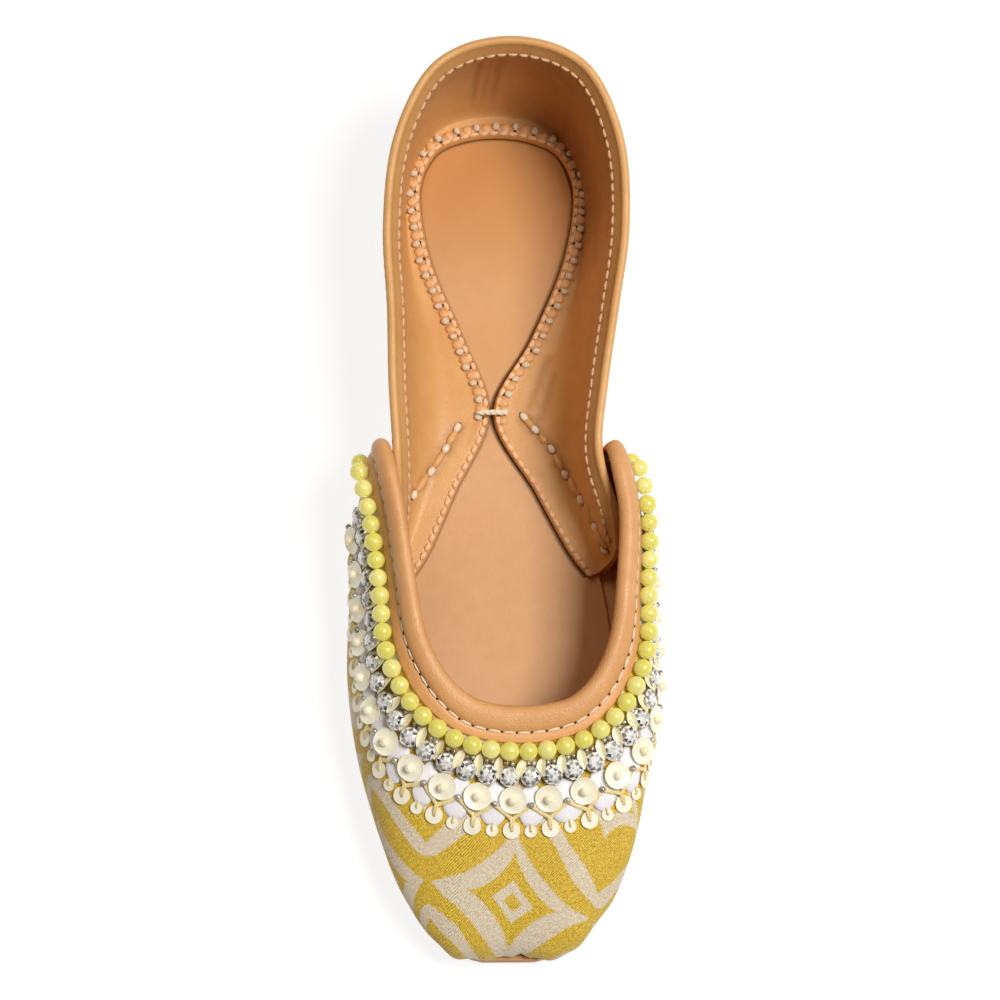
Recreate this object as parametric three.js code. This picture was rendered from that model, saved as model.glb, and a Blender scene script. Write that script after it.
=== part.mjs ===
// A khussa: a flat slip-on shoe of South Asia with a straight sole, a cloth vamp worked in beads
// and sequins, and a soft leather quarter whose turned-in flange is laced down over the insole.
// Millimetres, +Z up. The toe points to -Y and the heel to +Y. The origin is on the floor, at the
// middle of the length. "at" is a distance from the back of the heel towards the toe.
import * as THREE from "three";

// Driving dimensions
const LENGTH = 250;
const BALL_WIDTH = 79; // across the outsole
const HEEL_HEIGHT = 58; // floor to the back of the topline
const INSTEP_HEIGHT = 36; // floor to the middle of the throat

// Thicknesses and clearances
const GAP = 0.3; // between neighbouring pieces
const OUTSOLE_THICKNESS = 5;
const INSOLE_THICKNESS = 2;
const TRIM_GAP = 0.45; // under the trim, over the curved vamp
const VAMP_THICKNESS = 2; // print cloth, leather and lining
const QUARTER_THICKNESS = 1.8;
const RIM_SWELL = 0.5; // the topline's folded edge, on each face
const FLANGE_THICKNESS = 1.5;
const LACING_HEIGHT = 1.1; // the laced edge above the flange
const LACING_WIDTH = 4.4;

// Lift of the sole off the floor
const ARCH = { from: 62, to: 128, lift: 1.6 };
const TOE_SPRING = { from: 200, lift: 3.8 };

// Trim on the vamp. "from" is the distance down the vamp from the throat line to a row's middle.
// "ears" are the shares of the vamp's girth left bare at the left ear and at the right ear.
const BINDING_WIDTH = 7.2;
const ROLL_RADIUS = 2.3;
const BEAD = { count: 42, radius: 2.4, from: 9.2, thread: 0.7, ears: [0.105, 0.105] };
const CRYSTAL = { count: 34, radius: 2.5, height: 1.9, from: 16.1, link: 0.6, ears: [0.184, 0.183] };
const SEQUIN = { count: 21, radius: 3.4, height: 0.9, from: 22.4, link: 0.5, ears: [0.181, 0.195] };
const BAND = { from: 13, to: 26, scallop: 3.2, thickness: 0.9 };
const TIE = { at: 97.4, length: 8.2, radius: 0.75, x: -1.4 };

const HALF_BALL = BALL_WIDTH / 2;
const MIDDLE_OFFSET = 1.4; // from the middle of the overall width to where x is measured from

// Middle line of the sole: handwork bows it a little. Shares of length, millimetres across.
const MIDDLE_LINE = [
  { at: 0, x: 0.4 },
  { at: 0.4, x: -0.4 },
  { at: 0.66, x: -1.3 },
  { at: 0.88, x: 0 },
  { at: 1, x: 1.8 },
];

// Outline of the outsole, heel to toe. at: share of length; half: share of half the ball width.
const SOLE_OUTLINE = [
  { at: 0.002, half: 0.1 },
  { at: 0.012, half: 0.3 },
  { at: 0.036, half: 0.49 },
  { at: 0.08, half: 0.65 },
  { at: 0.14, half: 0.745 },
  { at: 0.22, half: 0.74 },
  { at: 0.3, half: 0.7 },
  { at: 0.39, half: 0.685 },
  { at: 0.47, half: 0.75 },
  { at: 0.55, half: 0.885 },
  { at: 0.63, half: 0.98 },
  { at: 0.7, half: 1 },
  { at: 0.77, half: 0.955 },
  { at: 0.83, half: 0.865 },
  { at: 0.885, half: 0.725 },
  { at: 0.935, half: 0.54 },
  { at: 0.975, half: 0.375 },
  { at: 0.994, half: 0.29 },
  { at: 1, half: 0.19 },
];

// Sections of the vamp, from the middle of the toe round to the back of the ear on one side.
// foot: lasted edge on the sole. top: the line that the binding rolls round, at the throat and
// then down round the ear. Both are shares of the length from the heel and of half the ball
// width; the top's third number is its height. lower: how the wall leaves its foot, out and up.
// upper: how it leaves its top, out and down. lean: shift of the top to +X that hand lasting left.
const VAMP_SECTIONS = [
  { foot: [0.992, 0], top: [0.752, 0, 0.99], lower: [5, 9], upper: [42, 13], lean: 4.4 },
  { foot: [0.99, 0.345], top: [0.749, 0.2, 0.995], lower: [8.5, 9], upper: [41, 13], lean: 4.4 },
  { foot: [0.956, 0.485], top: [0.738, 0.385, 1.01], lower: [12.6, 9], upper: [38, 12.5], lean: 4.3 },
  { foot: [0.885, 0.66], top: [0.71, 0.562, 1.04], lower: [12.2, 10], upper: [26, 12.5], lean: 4 },
  { foot: [0.797, 0.868], top: [0.666, 0.69, 1.085], lower: [10, 11], upper: [15, 13], lean: 3.7 },
  { foot: [0.708, 0.97], top: [0.608, 0.753, 1.135], lower: [7.6, 12], upper: [8, 15], lean: 3.4 },
  { foot: [0.635, 0.955], top: [0.537, 0.797, 1.17], lower: [7, 13], upper: [7, 15], lean: 2.6 },
  { foot: [0.587, 0.912], top: [0.487, 0.805, 1.18], lower: [7, 14], upper: [8, 15], lean: 0.5 },
  { foot: [0.55, 0.865], top: [0.459, 0.81, 1.1], lower: [6, 12], upper: [6, 12], lean: -0.9 },
  { foot: [0.515, 0.82], top: [0.449, 0.803, 0.9], lower: [4, 8], upper: [3, 9], lean: -1 },
  { foot: [0.486, 0.785], top: [0.445, 0.797, 0.62], lower: [2, 5], upper: [1, 5], lean: -0.9 },
  { foot: [0.464, 0.765], top: [0.443, 0.785, 0.34], lower: [0.5, 2], upper: [0.3, 2], lean: -0.9 },
];

// Sections of the quarter, from the back of the heel round to its front end on one side. Here the
// top is the folded rim.
const QUARTER_SECTIONS = [
  { foot: [0.008, 0], top: [0.014, 0, 1], lower: [2.6, 14], upper: [2.6, 16], lean: 3 },
  { foot: [0.024, 0.37], top: [0.026, 0.37, 0.988], lower: [2.6, 14], upper: [2.4, 16], lean: 3 },
  { foot: [0.068, 0.605], top: [0.06, 0.62, 0.962], lower: [3, 14], upper: [1.6, 15], lean: 2.8 },
  { foot: [0.138, 0.725], top: [0.13, 0.8, 0.893], lower: [3.2, 13], upper: [0.6, 14], lean: 2.3 },
  { foot: [0.222, 0.72], top: [0.218, 0.842, 0.822], lower: [3, 12], upper: [0, 13], lean: 1.6 },
  { foot: [0.305, 0.68], top: [0.305, 0.79, 0.777], lower: [2.4, 12], upper: [0, 12], lean: 0.6 },
  { foot: [0.388, 0.645], top: [0.388, 0.745, 0.743], lower: [2, 11], upper: [0, 11], lean: -0.8 },
  { foot: [0.468, 0.695], top: [0.462, 0.71, 0.7], lower: [1.6, 10], upper: [0, 10], lean: -1.1 },
  { foot: [0.53, 0.745], top: [0.522, 0.765, 0.57], lower: [1, 8], upper: [0.4, 8], lean: 1.4 },
  { foot: [0.568, 0.8], top: [0.556, 0.8, 0.4], lower: [0.6, 5], upper: [0.6, 5], lean: 1.8 },
];
// Free edge of the quarter's flange over the insole, section by section.
const FLANGE_EDGE = [
  { at: 0.058, half: 0, lean: 0.9 },
  { at: 0.064, half: 0.26, lean: 0.9 },
  { at: 0.082, half: 0.455, lean: 0.9 },
  { at: 0.128, half: 0.555, lean: 0.9 },
  { at: 0.208, half: 0.475, lean: 0.8 },
  { at: 0.3, half: 0.24, lean: 0.6 },
  { at: 0.389, half: 0.015, lean: -1.4 },
  { at: 0.478, half: 0.285, lean: -0.4 },
  { at: 0.544, half: 0.485, lean: 0.4 },
  { at: 0.574, half: 0.61, lean: 0.8 },
];
const LACED_SECTIONS = 6; // the flange's edge is laced from the heel to this section, at the tie

// Mesh steps
const SOLE_STEPS = 34;
const VAMP_STEPS = 55;
const QUARTER_STEPS = 50;
const WALL_STEPS = 8;
const LENGTH_SAMPLES = 48; // along a wall curve, to measure distances down it
const SLOPE = 1e-3; // parameter step for slopes

const UP = new THREE.Vector3(0, 0, 1);

// A point from a distance from the heel, a distance across and a height.
function place(at, x, z) {
  return new THREE.Vector3(x - MIDDLE_OFFSET, LENGTH / 2 - at, z);
}

function distanceFromHeel(point) {
  return LENGTH / 2 - point.y;
}

// Height of the outsole's underside off the floor: flat under heel and ball, arched between.
function soleLift(at) {
  if (at > ARCH.from && at < ARCH.to) {
    return ARCH.lift * Math.sin((Math.PI * (at - ARCH.from)) / (ARCH.to - ARCH.from)) ** 2;
  }
  const past = Math.max(0, at - TOE_SPRING.from) / (LENGTH - TOE_SPRING.from);
  return TOE_SPRING.lift * past ** 2;
}

const outsoleTop = (at) => soleLift(at) + OUTSOLE_THICKNESS;
const insoleBottom = (at) => outsoleTop(at) + GAP;
const insoleTop = (at) => insoleBottom(at) + INSOLE_THICKNESS;
const flangeBottom = (at) => insoleTop(at) + GAP;
const flangeTop = (at) => flangeBottom(at) + FLANGE_THICKNESS;

// The middle line's offset across the shoe, eased between the rows of its table.
function middleLine(at) {
  const share = THREE.MathUtils.clamp(at / LENGTH, 0, 1);
  const next = Math.max(1, MIDDLE_LINE.findIndex((row) => row.at >= share));
  const [a, b] = [MIDDLE_LINE[next - 1], MIDDLE_LINE[next]];
  return THREE.MathUtils.lerp(a.x, b.x, THREE.MathUtils.smoothstep(share, a.at, b.at));
}

// A smooth curve through the same point of every section, from the left end round to the right.
function alongSections(sections, pointOf) {
  const right = sections.map((row) => pointOf(row, 1));
  const left = sections.slice(1).reverse().map((row) => pointOf(row, -1));
  return new THREE.CatmullRomCurve3([...left, ...right], false, "catmullrom", 0.5);
}

// A horizontal unit vector square to a curve, to the outside of the shoe.
function outward(curve, t, side) {
  const tangent = curve.getTangent(THREE.MathUtils.clamp(t, SLOPE, 1 - SLOPE));
  return tangent.cross(UP).setZ(0).normalize().multiplyScalar(side);
}

// An upper's wall as a surface: t runs round the shoe from the left end to the right end, and
// v climbs each section's cubic curve from the foot of the wall to its top.
class Wall {
  constructor(sections, topHeight, outside) {
    this.outside = outside;
    this.foot = alongSections(sections, ({ foot: [share, half] }, side) => {
      const at = share * LENGTH;
      return place(at, middleLine(at) + side * half * HALF_BALL, outsoleTop(at) + GAP);
    });
    this.top = alongSections(sections, ({ top: [share, half, height], lean }, side) =>
      place(share * LENGTH, lean + side * half * HALF_BALL, height * topHeight),
    );
    this.leaveFoot = alongSections(sections, ({ lower }) => new THREE.Vector3(...lower, 0));
    this.leaveTop = alongSections(sections, ({ upper }) => new THREE.Vector3(...upper, 0));
  }

  // The cubic curve up the wall at t. Where the top runs steeply, as round an ear, the wall leaves
  // it along the straight line to the foot.
  section(t) {
    const [foot, top] = [this.foot.getPoint(t), this.top.getPoint(t)];
    const [low, high] = [this.leaveFoot.getPoint(t), this.leaveTop.getPoint(t)];
    const steep = this.top.getTangent(THREE.MathUtils.clamp(t, SLOPE, 1 - SLOPE)).z ** 2;
    const third = top.clone().sub(foot).divideScalar(3);
    const rise = new THREE.Vector3(0, 0, low.y).lerp(third, steep);
    const drop = new THREE.Vector3(0, 0, high.y).lerp(third, steep);
    const lower = foot.clone().addScaledVector(outward(this.foot, t, this.outside), low.x).add(rise);
    const upper = top.clone().addScaledVector(outward(this.top, t, this.outside), high.x).sub(drop);
    return new THREE.CubicBezierCurve3(foot, lower, upper, top);
  }

  point(t, v) {
    return this.section(t).getPoint(v);
  }

  normal(t, v) {
    const [t0, t1] = [Math.max(0, t - SLOPE), Math.min(1, t + SLOPE)];
    const [v0, v1] = [Math.max(0, v - SLOPE), Math.min(1, v + SLOPE)];
    const round = this.point(t1, v).sub(this.point(t0, v));
    const climb = this.point(t, v1).sub(this.point(t, v0));
    return round.cross(climb).normalize().multiplyScalar(this.outside);
  }

  // The share v of a section that lies a distance down the wall from its top.
  shareDown(t, distance) {
    const lengths = this.section(t).getLengths(LENGTH_SAMPLES);
    const wanted = lengths[LENGTH_SAMPLES] - distance;
    const after = Math.max(1, lengths.findIndex((length) => length >= wanted));
    const step = (wanted - lengths[after - 1]) / (lengths[after] - lengths[after - 1]);
    return (after - 1 + step) / LENGTH_SAMPLES;
  }

  // Place, normal and downward direction on the wall, a distance down from its top.
  spot(t, distance) {
    const v = this.shareDown(t, distance);
    const point = this.point(t, v);
    const down = this.point(t, v - SLOPE).sub(this.point(t, v + SLOPE)).normalize();
    return { point, down, normal: this.normal(t, v) };
  }
}

// A closed body through rings with equal counts of points, with a flat cap at each end.
function loft(rings) {
  const size = rings[0].length;
  const positions = rings.flat().flatMap((point) => point.toArray());
  const triangles = [];
  for (let ring = 0; ring + 1 < rings.length; ring++) {
    for (let i = 0; i < size; i++) {
      const [a, b] = [ring * size + i, ring * size + ((i + 1) % size)];
      triangles.push([a, b, b + size], [a, b + size, a + size]);
    }
  }
  const last = (rings.length - 1) * size;
  for (const [a, b, c] of capTriangles(rings[0])) triangles.push([c, b, a]);
  for (const [a, b, c] of capTriangles(rings[rings.length - 1])) {
    triangles.push([a + last, b + last, c + last]);
  }
  if (signedVolume(positions, triangles) < 0) triangles.forEach((triangle) => triangle.reverse());
  const geometry = new THREE.BufferGeometry();
  geometry.setAttribute("position", new THREE.Float32BufferAttribute(positions, 3));
  geometry.setIndex(triangles.flat());
  geometry.computeVertexNormals();
  return geometry;
}

// Triangles of one ring, wound as the ring runs.
function capTriangles(ring) {
  const normal = new THREE.Vector3();
  ring.forEach((point, i) => normal.add(point.clone().cross(ring[(i + 1) % ring.length])));
  const facing = new THREE.Quaternion().setFromUnitVectors(normal.normalize(), UP);
  const flat = ring.map((point) => {
    const turned = point.clone().applyQuaternion(facing);
    return new THREE.Vector2(turned.x, turned.y);
  });
  return THREE.ShapeUtils.triangulateShape(flat, []);
}

function signedVolume(positions, triangles) {
  const corner = (i) => new THREE.Vector3().fromArray(positions, 3 * i);
  return triangles.reduce(
    (sum, [a, b, c]) => sum + corner(a).dot(corner(b).cross(corner(c))) / 6,
    0,
  );
}

function range(count, from = 0, to = 1) {
  return Array.from({ length: count + 1 }, (_, i) => from + ((to - from) * i) / count);
}

// Outline of a sole piece, heel to toe, drawn in from the outsole's edge by a margin.
function soleStations(margin) {
  const rows = SOLE_OUTLINE.map(
    ({ at, half }) => new THREE.Vector2(at * LENGTH, half * HALF_BALL),
  );
  const edge = new THREE.SplineCurve(rows);
  return range(SOLE_STEPS).map((t) => {
    const { x: at, y: half } = edge.getPoint(t);
    const slope = edge.getTangent(THREE.MathUtils.clamp(t, SLOPE, 1 - SLOPE));
    return { at: at + slope.y * margin, half: Math.max(0.6, half - slope.x * margin) };
  });
}

// A flat sole piece between two heights, its edge eased above and below.
function soleSlab(stations, bottom, top, ease) {
  const rings = stations.map(({ at, half }) => {
    const inset = Math.min(ease, half / 2);
    const middle = middleLine(at);
    const [low, high] = [bottom(at), top(at)];
    const profile = [
      [half - inset, low],
      [half, low + inset],
      [half, high - inset],
      [half - inset, high],
    ];
    const mirrored = profile.map(([x, z]) => [-x, z]).reverse();
    return [...profile, ...mirrored].map(([x, z]) => place(at, middle + x, z));
  });
  return loft(rings);
}

const OUTSOLE_EASE = 0.9;
const INSOLE_EASE = 0.5;
const INSOLE_MARGIN = 6.5; // room for the upper's wall between the two edges

function outsole() {
  return soleSlab(soleStations(0), soleLift, outsoleTop, OUTSOLE_EASE);
}

function insole() {
  return soleSlab(soleStations(INSOLE_MARGIN), insoleBottom, insoleTop, INSOLE_EASE);
}

const vampWall = new Wall(VAMP_SECTIONS, INSTEP_HEIGHT, 1);
const quarterWall = new Wall(QUARTER_SECTIONS, HEEL_HEIGHT, -1);

const EDGE_INSIDE_ROLL = 1.5; // where the vamp's own edge stops, short of the throat line

// The vamp: a shell of one thickness from the sole to the throat, open at the throat and below.
function vamp() {
  const rings = range(VAMP_STEPS).map((t) => {
    const shares = range(WALL_STEPS, 0, vampWall.shareDown(t, EDGE_INSIDE_ROLL));
    const outer = shares.map((v) => vampWall.point(t, v));
    const inner = shares.map((v, i) => {
      const normal = vampWall.normal(t, v);
      if (i === 0) normal.setZ(0).normalize();
      return outer[i].clone().addScaledVector(normal, -VAMP_THICKNESS);
    });
    return [...outer, ...inner.reverse()];
  });
  return loft(rings);
}

// The binding's section, down the vamp and out from it: a stitched strip and a padded roll.
const BINDING_PROFILE = [
  { down: BINDING_WIDTH, out: GAP },
  { down: BINDING_WIDTH, out: 0.9 },
  { down: BINDING_WIDTH - 0.6, out: 1.2 },
  { down: 3, out: 1.2 },
  { down: 1.6, out: 1.7 },
  { down: -0.2, out: 1.9 },
  { down: -ROLL_RADIUS, out: 0.9 },
  { down: -ROLL_RADIUS - 0.4, out: -0.9 },
  { down: -1.6, out: -2.4 },
  { down: 0, out: -2.8 },
  { down: EDGE_INSIDE_ROLL - GAP, out: -VAMP_THICKNESS },
  { down: EDGE_INSIDE_ROLL - GAP, out: GAP },
  { down: 4.2, out: GAP },
];

function vampBinding() {
  const rings = range(VAMP_STEPS).map((t) =>
    BINDING_PROFILE.map(({ down, out }) => {
      const spot = vampWall.spot(t, Math.max(0, down));
      return spot.point
        .addScaledVector(spot.down, Math.min(0, down))
        .addScaledVector(spot.normal, out);
    }),
  );
  return loft(rings);
}

// The quarter's section: the wall up to the folded rim, down its inner face, and in along the
// flange to the laced edge, which stands a little proud of the flange.
function quarterRing(t) {
  const shares = range(WALL_STEPS - 2);
  const outer = shares.map((v) => quarterWall.point(t, v));
  const inner = shares.map((v, i) =>
    outer[i].clone().addScaledVector(quarterWall.normal(t, v), -QUARTER_THICKNESS),
  );
  const top = outer.length - 1;
  const rimOut = quarterWall.normal(t, 1).multiplyScalar(RIM_SWELL);
  outer[top].add(rimOut);
  inner[top].sub(rimOut);
  const crest = outer[top].clone().lerp(inner[top], 0.5).addScaledVector(UP, 2 * RIM_SWELL);

  const foot = outer[0];
  const footIn = outward(quarterWall.foot, t, -quarterWall.outside);
  const innerFoot = foot.clone().addScaledVector(footIn, QUARTER_THICKNESS);
  const edge = flangeEdge.getPoint(t);
  const across = edge.clone().sub(innerFoot).setZ(0);
  const width = across.length();
  across.normalize();
  const laced = lacedShare(t);
  const lacing = Math.min(LACING_WIDTH, width / 2);
  const fillet = Math.min(4, width / 3);
  const onFlange = (distance, above) => {
    const point = innerFoot.clone().addScaledVector(across, distance);
    return point.setZ(flangeTop(distanceFromHeel(point)) + above);
  };
  const flange = [
    onFlange(fillet * 0.3, 1.9),
    onFlange(fillet, 0),
    onFlange(width - lacing, 0),
    onFlange(width - lacing * 0.75, LACING_HEIGHT * laced),
    onFlange(width - lacing * 0.2, LACING_HEIGHT * laced),
    onFlange(width, -0.4),
    onFlange(width, -FLANGE_THICKNESS),
    onFlange(0, -FLANGE_THICKNESS),
  ];
  return [...outer, crest, ...inner.slice(2).reverse(), ...flange, innerFoot];
}

const flangeEdge = alongSections(FLANGE_EDGE, ({ at, half, lean }, side) =>
  place(at * LENGTH, lean + side * half * HALF_BALL, 0),
);

// 1 along the laced stretch of the flange's edge, and 0 past the tie.
function lacedShare(t) {
  const section = Math.abs(2 * t - 1) * (QUARTER_SECTIONS.length - 1);
  return 1 - THREE.MathUtils.smoothstep(section, LACED_SECTIONS - 0.4, LACED_SECTIONS + 0.6);
}

function quarter() {
  return loft(range(QUARTER_STEPS).map(quarterRing));
}

// The thread bar that ties the two flanges together over the waist.
const TIE_SIDES = 6;

function tie() {
  const z = flangeTop(TIE.at) + LACING_HEIGHT + GAP + TIE.radius;
  const ends = [-0.5, -0.42, 0.42, 0.5].map((share, i) => {
    const radius = i % 3 === 0 ? TIE.radius / 2 : TIE.radius;
    return range(TIE_SIDES).slice(1).map((turn) => {
      const angle = 2 * Math.PI * turn;
      const point = place(TIE.at, TIE.x + share * TIE.length, z);
      point.y += radius * Math.cos(angle);
      point.z += radius * Math.sin(angle);
      return point;
    });
  });
  return loft(ends);
}

// Evenly spaced parameters along the line that lies a distance down the vamp.
function evenSteps(distance, count, [left, right]) {
  const samples = range(400, left, 1 - right);
  const points = samples.map((t) => vampWall.spot(t, distance).point);
  const travelled = [0];
  points.slice(1).forEach((point, i) => travelled.push(travelled[i] + point.distanceTo(points[i])));
  const total = travelled[travelled.length - 1];
  return range(count).map((share) => {
    const after = Math.max(1, travelled.findIndex((length) => length >= share * total - 1e-9));
    const step = (share * total - travelled[after - 1]) / (travelled[after] - travelled[after - 1]);
    return THREE.MathUtils.lerp(samples[after - 1], samples[after], step);
  });
}

const BEAD_SIDES = 6;
const BEAD_RINGS = [
  { share: 0, radius: BEAD.thread },
  { share: 0.24, radius: 0.86 * BEAD.radius },
  { share: 0.5, radius: BEAD.radius },
  { share: 0.76, radius: 0.86 * BEAD.radius },
];

// Round beads on a thread, laid against the binding's outer edge.
function beadString() {
  const perBead = BEAD_RINGS.length;
  const steps = evenSteps(BEAD.from, BEAD.count * 25, BEAD.ears);
  const rings = range(BEAD.count * perBead).map((_, i) => {
    const { share, radius } = BEAD_RINGS[i % perBead];
    const t = steps[Math.round((Math.floor(i / perBead) + share) * 25)];
    const { point, down, normal } = vampWall.spot(t, BEAD.from);
    point.addScaledVector(normal, BEAD.radius + GAP);
    return range(BEAD_SIDES).slice(1).map((turn) => {
      const angle = 2 * Math.PI * turn;
      return point
        .clone()
        .addScaledVector(down, radius * Math.cos(angle))
        .addScaledVector(normal, radius * Math.sin(angle));
    });
  });
  return loft(rings);
}

// A row of round pieces joined by a narrow link, lying flat at a height over the vamp.
function roundRow({ count, radius, height, from, link, ears }, over) {
  const outline = [-1, -0.5, 0.5, 1].map((x) => ({ x, half: Math.sqrt(1 - x * x) }));
  const steps = evenSteps(from, count * 50, ears);
  const length = 50 * pitchLength(steps, from, count * 50);
  const rings = range(count - 1, 0, count - 1).flatMap((piece) =>
    outline.map(({ x, half }) => {
      const centre = (piece + 0.5) * 50;
      const t = steps[Math.round(centre + (x * radius * 50) / length)];
      const { point, down, normal } = vampWall.spot(t, from);
      const width = Math.max(link, half * radius);
      const top = over + height * (half > 0 ? 1 : 0.6);
      return [
        [-width, over],
        [-width, top],
        [width, top],
        [width, over],
      ].map(([along, out]) =>
        point.clone().addScaledVector(down, along).addScaledVector(normal, out),
      );
    }),
  );
  return loft(rings);
}

// Length of one even step along the line that lies a distance down the vamp.
function pitchLength(steps, distance, count) {
  const points = steps.map((t) => vampWall.spot(t, distance).point);
  return points.slice(1).reduce((sum, p, i) => sum + p.distanceTo(points[i]), 0) / count;
}

// The ground cloth of the embroidery: a thin band on the vamp, scalloped between the sequins.
const BAND_STEPS_PER_SCALLOP = 4;
const BAND_STEPS_ACROSS = 3;

function embroideryBand() {
  const count = SEQUIN.count * BAND_STEPS_PER_SCALLOP;
  const rings = evenSteps(SEQUIN.from, count, SEQUIN.ears).map((t, i) => {
    const wave = Math.abs(Math.cos((Math.PI * i) / BAND_STEPS_PER_SCALLOP));
    const edge = BAND.to + BAND.scallop * wave;
    const across = range(BAND_STEPS_ACROSS, BAND.from, edge);
    const under = across.map((down) => lifted(t, down, TRIM_GAP));
    const over = across.map((down) => lifted(t, down, TRIM_GAP + BAND.thickness));
    return [...under, ...over.reverse()];
  });
  return loft(rings);
}

// A point over the vamp, a distance down from the throat and a height out from its face.
function lifted(t, down, out) {
  const { point, normal } = vampWall.spot(t, down);
  return point.addScaledVector(normal, out);
}

const OVER_BAND = TRIM_GAP + BAND.thickness + GAP;

const finishes = {
  soleLeather: { color: 0xb98254, roughness: 0.6 },
  tanLeather: { color: 0xcf9560, roughness: 0.45 },
  printCloth: { color: 0xe2c02f, roughness: 0.85 },
  bead: { color: 0xe6e266, roughness: 0.2 },
  crystal: { color: 0xe8ecee, roughness: 0.05, metalness: 0.3 },
  sequin: { color: 0xf2ecc4, roughness: 0.35 },
  groundCloth: { color: 0xeeeaf0, roughness: 0.7 },
  thread: { color: 0xf1e3cf, roughness: 0.8 },
};

function piece(name, geometry, finish) {
  const mesh = new THREE.Mesh(geometry, new THREE.MeshStandardMaterial(finishes[finish]));
  mesh.name = name;
  return mesh;
}

const bottom = new THREE.Group();
bottom.add(piece("outsole", outsole(), "soleLeather"), piece("insole", insole(), "tanLeather"));

const upper = new THREE.Group();
upper.add(
  piece("vamp", vamp(), "printCloth"),
  piece("vamp_binding", vampBinding(), "tanLeather"),
  piece("quarter", quarter(), "tanLeather"),
  piece("waist_tie", tie(), "thread"),
);

const trim = new THREE.Group();
trim.add(
  piece("bead_string", beadString(), "bead"),
  piece("embroidery_band", embroideryBand(), "groundCloth"),
  piece("crystal_row", roundRow(CRYSTAL, OVER_BAND), "crystal"),
  piece("sequin_row", roundRow(SEQUIN, OVER_BAND), "sequin"),
);

const khussa = new THREE.Group();
khussa.add(bottom, upper, trim);

export default khussa;
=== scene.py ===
import math

import bmesh
import bpy
import numpy as np
from mathutils import Matrix, Vector
from mathutils.bvhtree import BVHTree


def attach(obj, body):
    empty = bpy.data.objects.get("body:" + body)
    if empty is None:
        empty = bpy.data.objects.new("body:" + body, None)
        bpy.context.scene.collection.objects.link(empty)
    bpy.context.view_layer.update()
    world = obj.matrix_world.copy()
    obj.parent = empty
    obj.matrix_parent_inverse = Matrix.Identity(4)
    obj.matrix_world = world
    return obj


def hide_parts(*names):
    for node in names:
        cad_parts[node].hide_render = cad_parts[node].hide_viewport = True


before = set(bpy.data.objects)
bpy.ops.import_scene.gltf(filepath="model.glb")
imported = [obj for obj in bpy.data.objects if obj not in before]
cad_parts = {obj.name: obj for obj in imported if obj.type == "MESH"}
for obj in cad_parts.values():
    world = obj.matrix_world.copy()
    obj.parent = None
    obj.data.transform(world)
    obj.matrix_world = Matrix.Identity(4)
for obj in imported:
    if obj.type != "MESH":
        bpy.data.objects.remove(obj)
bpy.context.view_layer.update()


# Outsole
# One flat piece of thick tanned hide under the whole foot, the same shape for either foot.
# It is cut with a knife, its edge is rubbed smooth, and the upper is stitched down to it.
LENGTH = 250
HALF_BALL = 39.5
MIDDLE_OFFSET = 1.4
GAP = 0.3
OUTSOLE_THICKNESS = 5
OUTSOLE_EASE = 0.9
ARCH_FROM, ARCH_TO, ARCH_LIFT = 62, 128, 1.6
SPRING_FROM, SPRING_LIFT = 200, 3.8
DISH_STARTS, DISH_ENDS = (10, 40), (80, 120)
SOLE_RINGS = 200
EDGE_STEPS = 5
SEAT_STEPS = 15
# share of the length, distance from the straight middle line
MIDDLE_LINE = np.array([(0, 0.4), (0.4, -0.4), (0.66, -1.3), (0.88, 0), (1, 1.8)])
# share of the length, share of the half width at the ball
SOLE_OUTLINE = np.array(
    [(0.002, 0.1), (0.012, 0.3), (0.036, 0.49), (0.08, 0.65), (0.14, 0.745), (0.22, 0.74), (0.3, 0.7)]
    + [(0.39, 0.685), (0.47, 0.75), (0.55, 0.885), (0.63, 0.98), (0.7, 1), (0.77, 0.955), (0.83, 0.865)]
    + [(0.885, 0.725), (0.935, 0.54), (0.975, 0.375), (0.994, 0.29), (1, 0.19)]
)


def unit(vectors):
    return vectors / np.maximum(np.linalg.norm(vectors, axis=-1, keepdims=True), 1e-9)


def ease(low, high, value):
    share = np.clip((value - low) / (high - low), 0, 1)
    return share * share * (3 - 2 * share)


def through(points, share):
    """Places at shares of a smooth curve through a row of points."""
    points = np.asarray(points, float)
    run = np.clip(np.asarray(share, float), 0, 1) * (len(points) - 1)
    first = np.minimum(run.astype(int), len(points) - 2)
    step = (run - first)[..., None]
    row = np.vstack([2 * points[0] - points[1], points, 2 * points[-1] - points[-2]])
    before, start, end, after = (row[first + k] for k in range(4))
    leave = (end - before) / 2
    arrive = (after - start) / 2
    return (
        start
        + leave * step
        + (3 * (end - start) - 2 * leave - arrive) * step**2
        + (2 * (start - end) + leave + arrive) * step**3
    )


def place(at, x, z):
    at, x, z = np.broadcast_arrays(at, x, z)
    return np.stack([x - MIDDLE_OFFSET, LENGTH / 2 - at, z], axis=-1)


def sole_lift(at):
    arch = np.clip((at - ARCH_FROM) / (ARCH_TO - ARCH_FROM), 0, 1)
    spring = np.clip((at - SPRING_FROM) / (LENGTH - SPRING_FROM), 0, 2)
    return ARCH_LIFT * np.sin(np.pi * arch) ** 2 + SPRING_LIFT * spring**2


def outsole_top(at):
    return sole_lift(at) + OUTSOLE_THICKNESS


def middle_line(at):
    shares, across = MIDDLE_LINE.T
    share = np.clip(at / LENGTH, 0, 1)
    row = np.clip(np.searchsorted(shares, share) - 1, 0, len(shares) - 2)
    return across[row] + (across[row + 1] - across[row]) * ease(shares[row], shares[row + 1], share)


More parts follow.
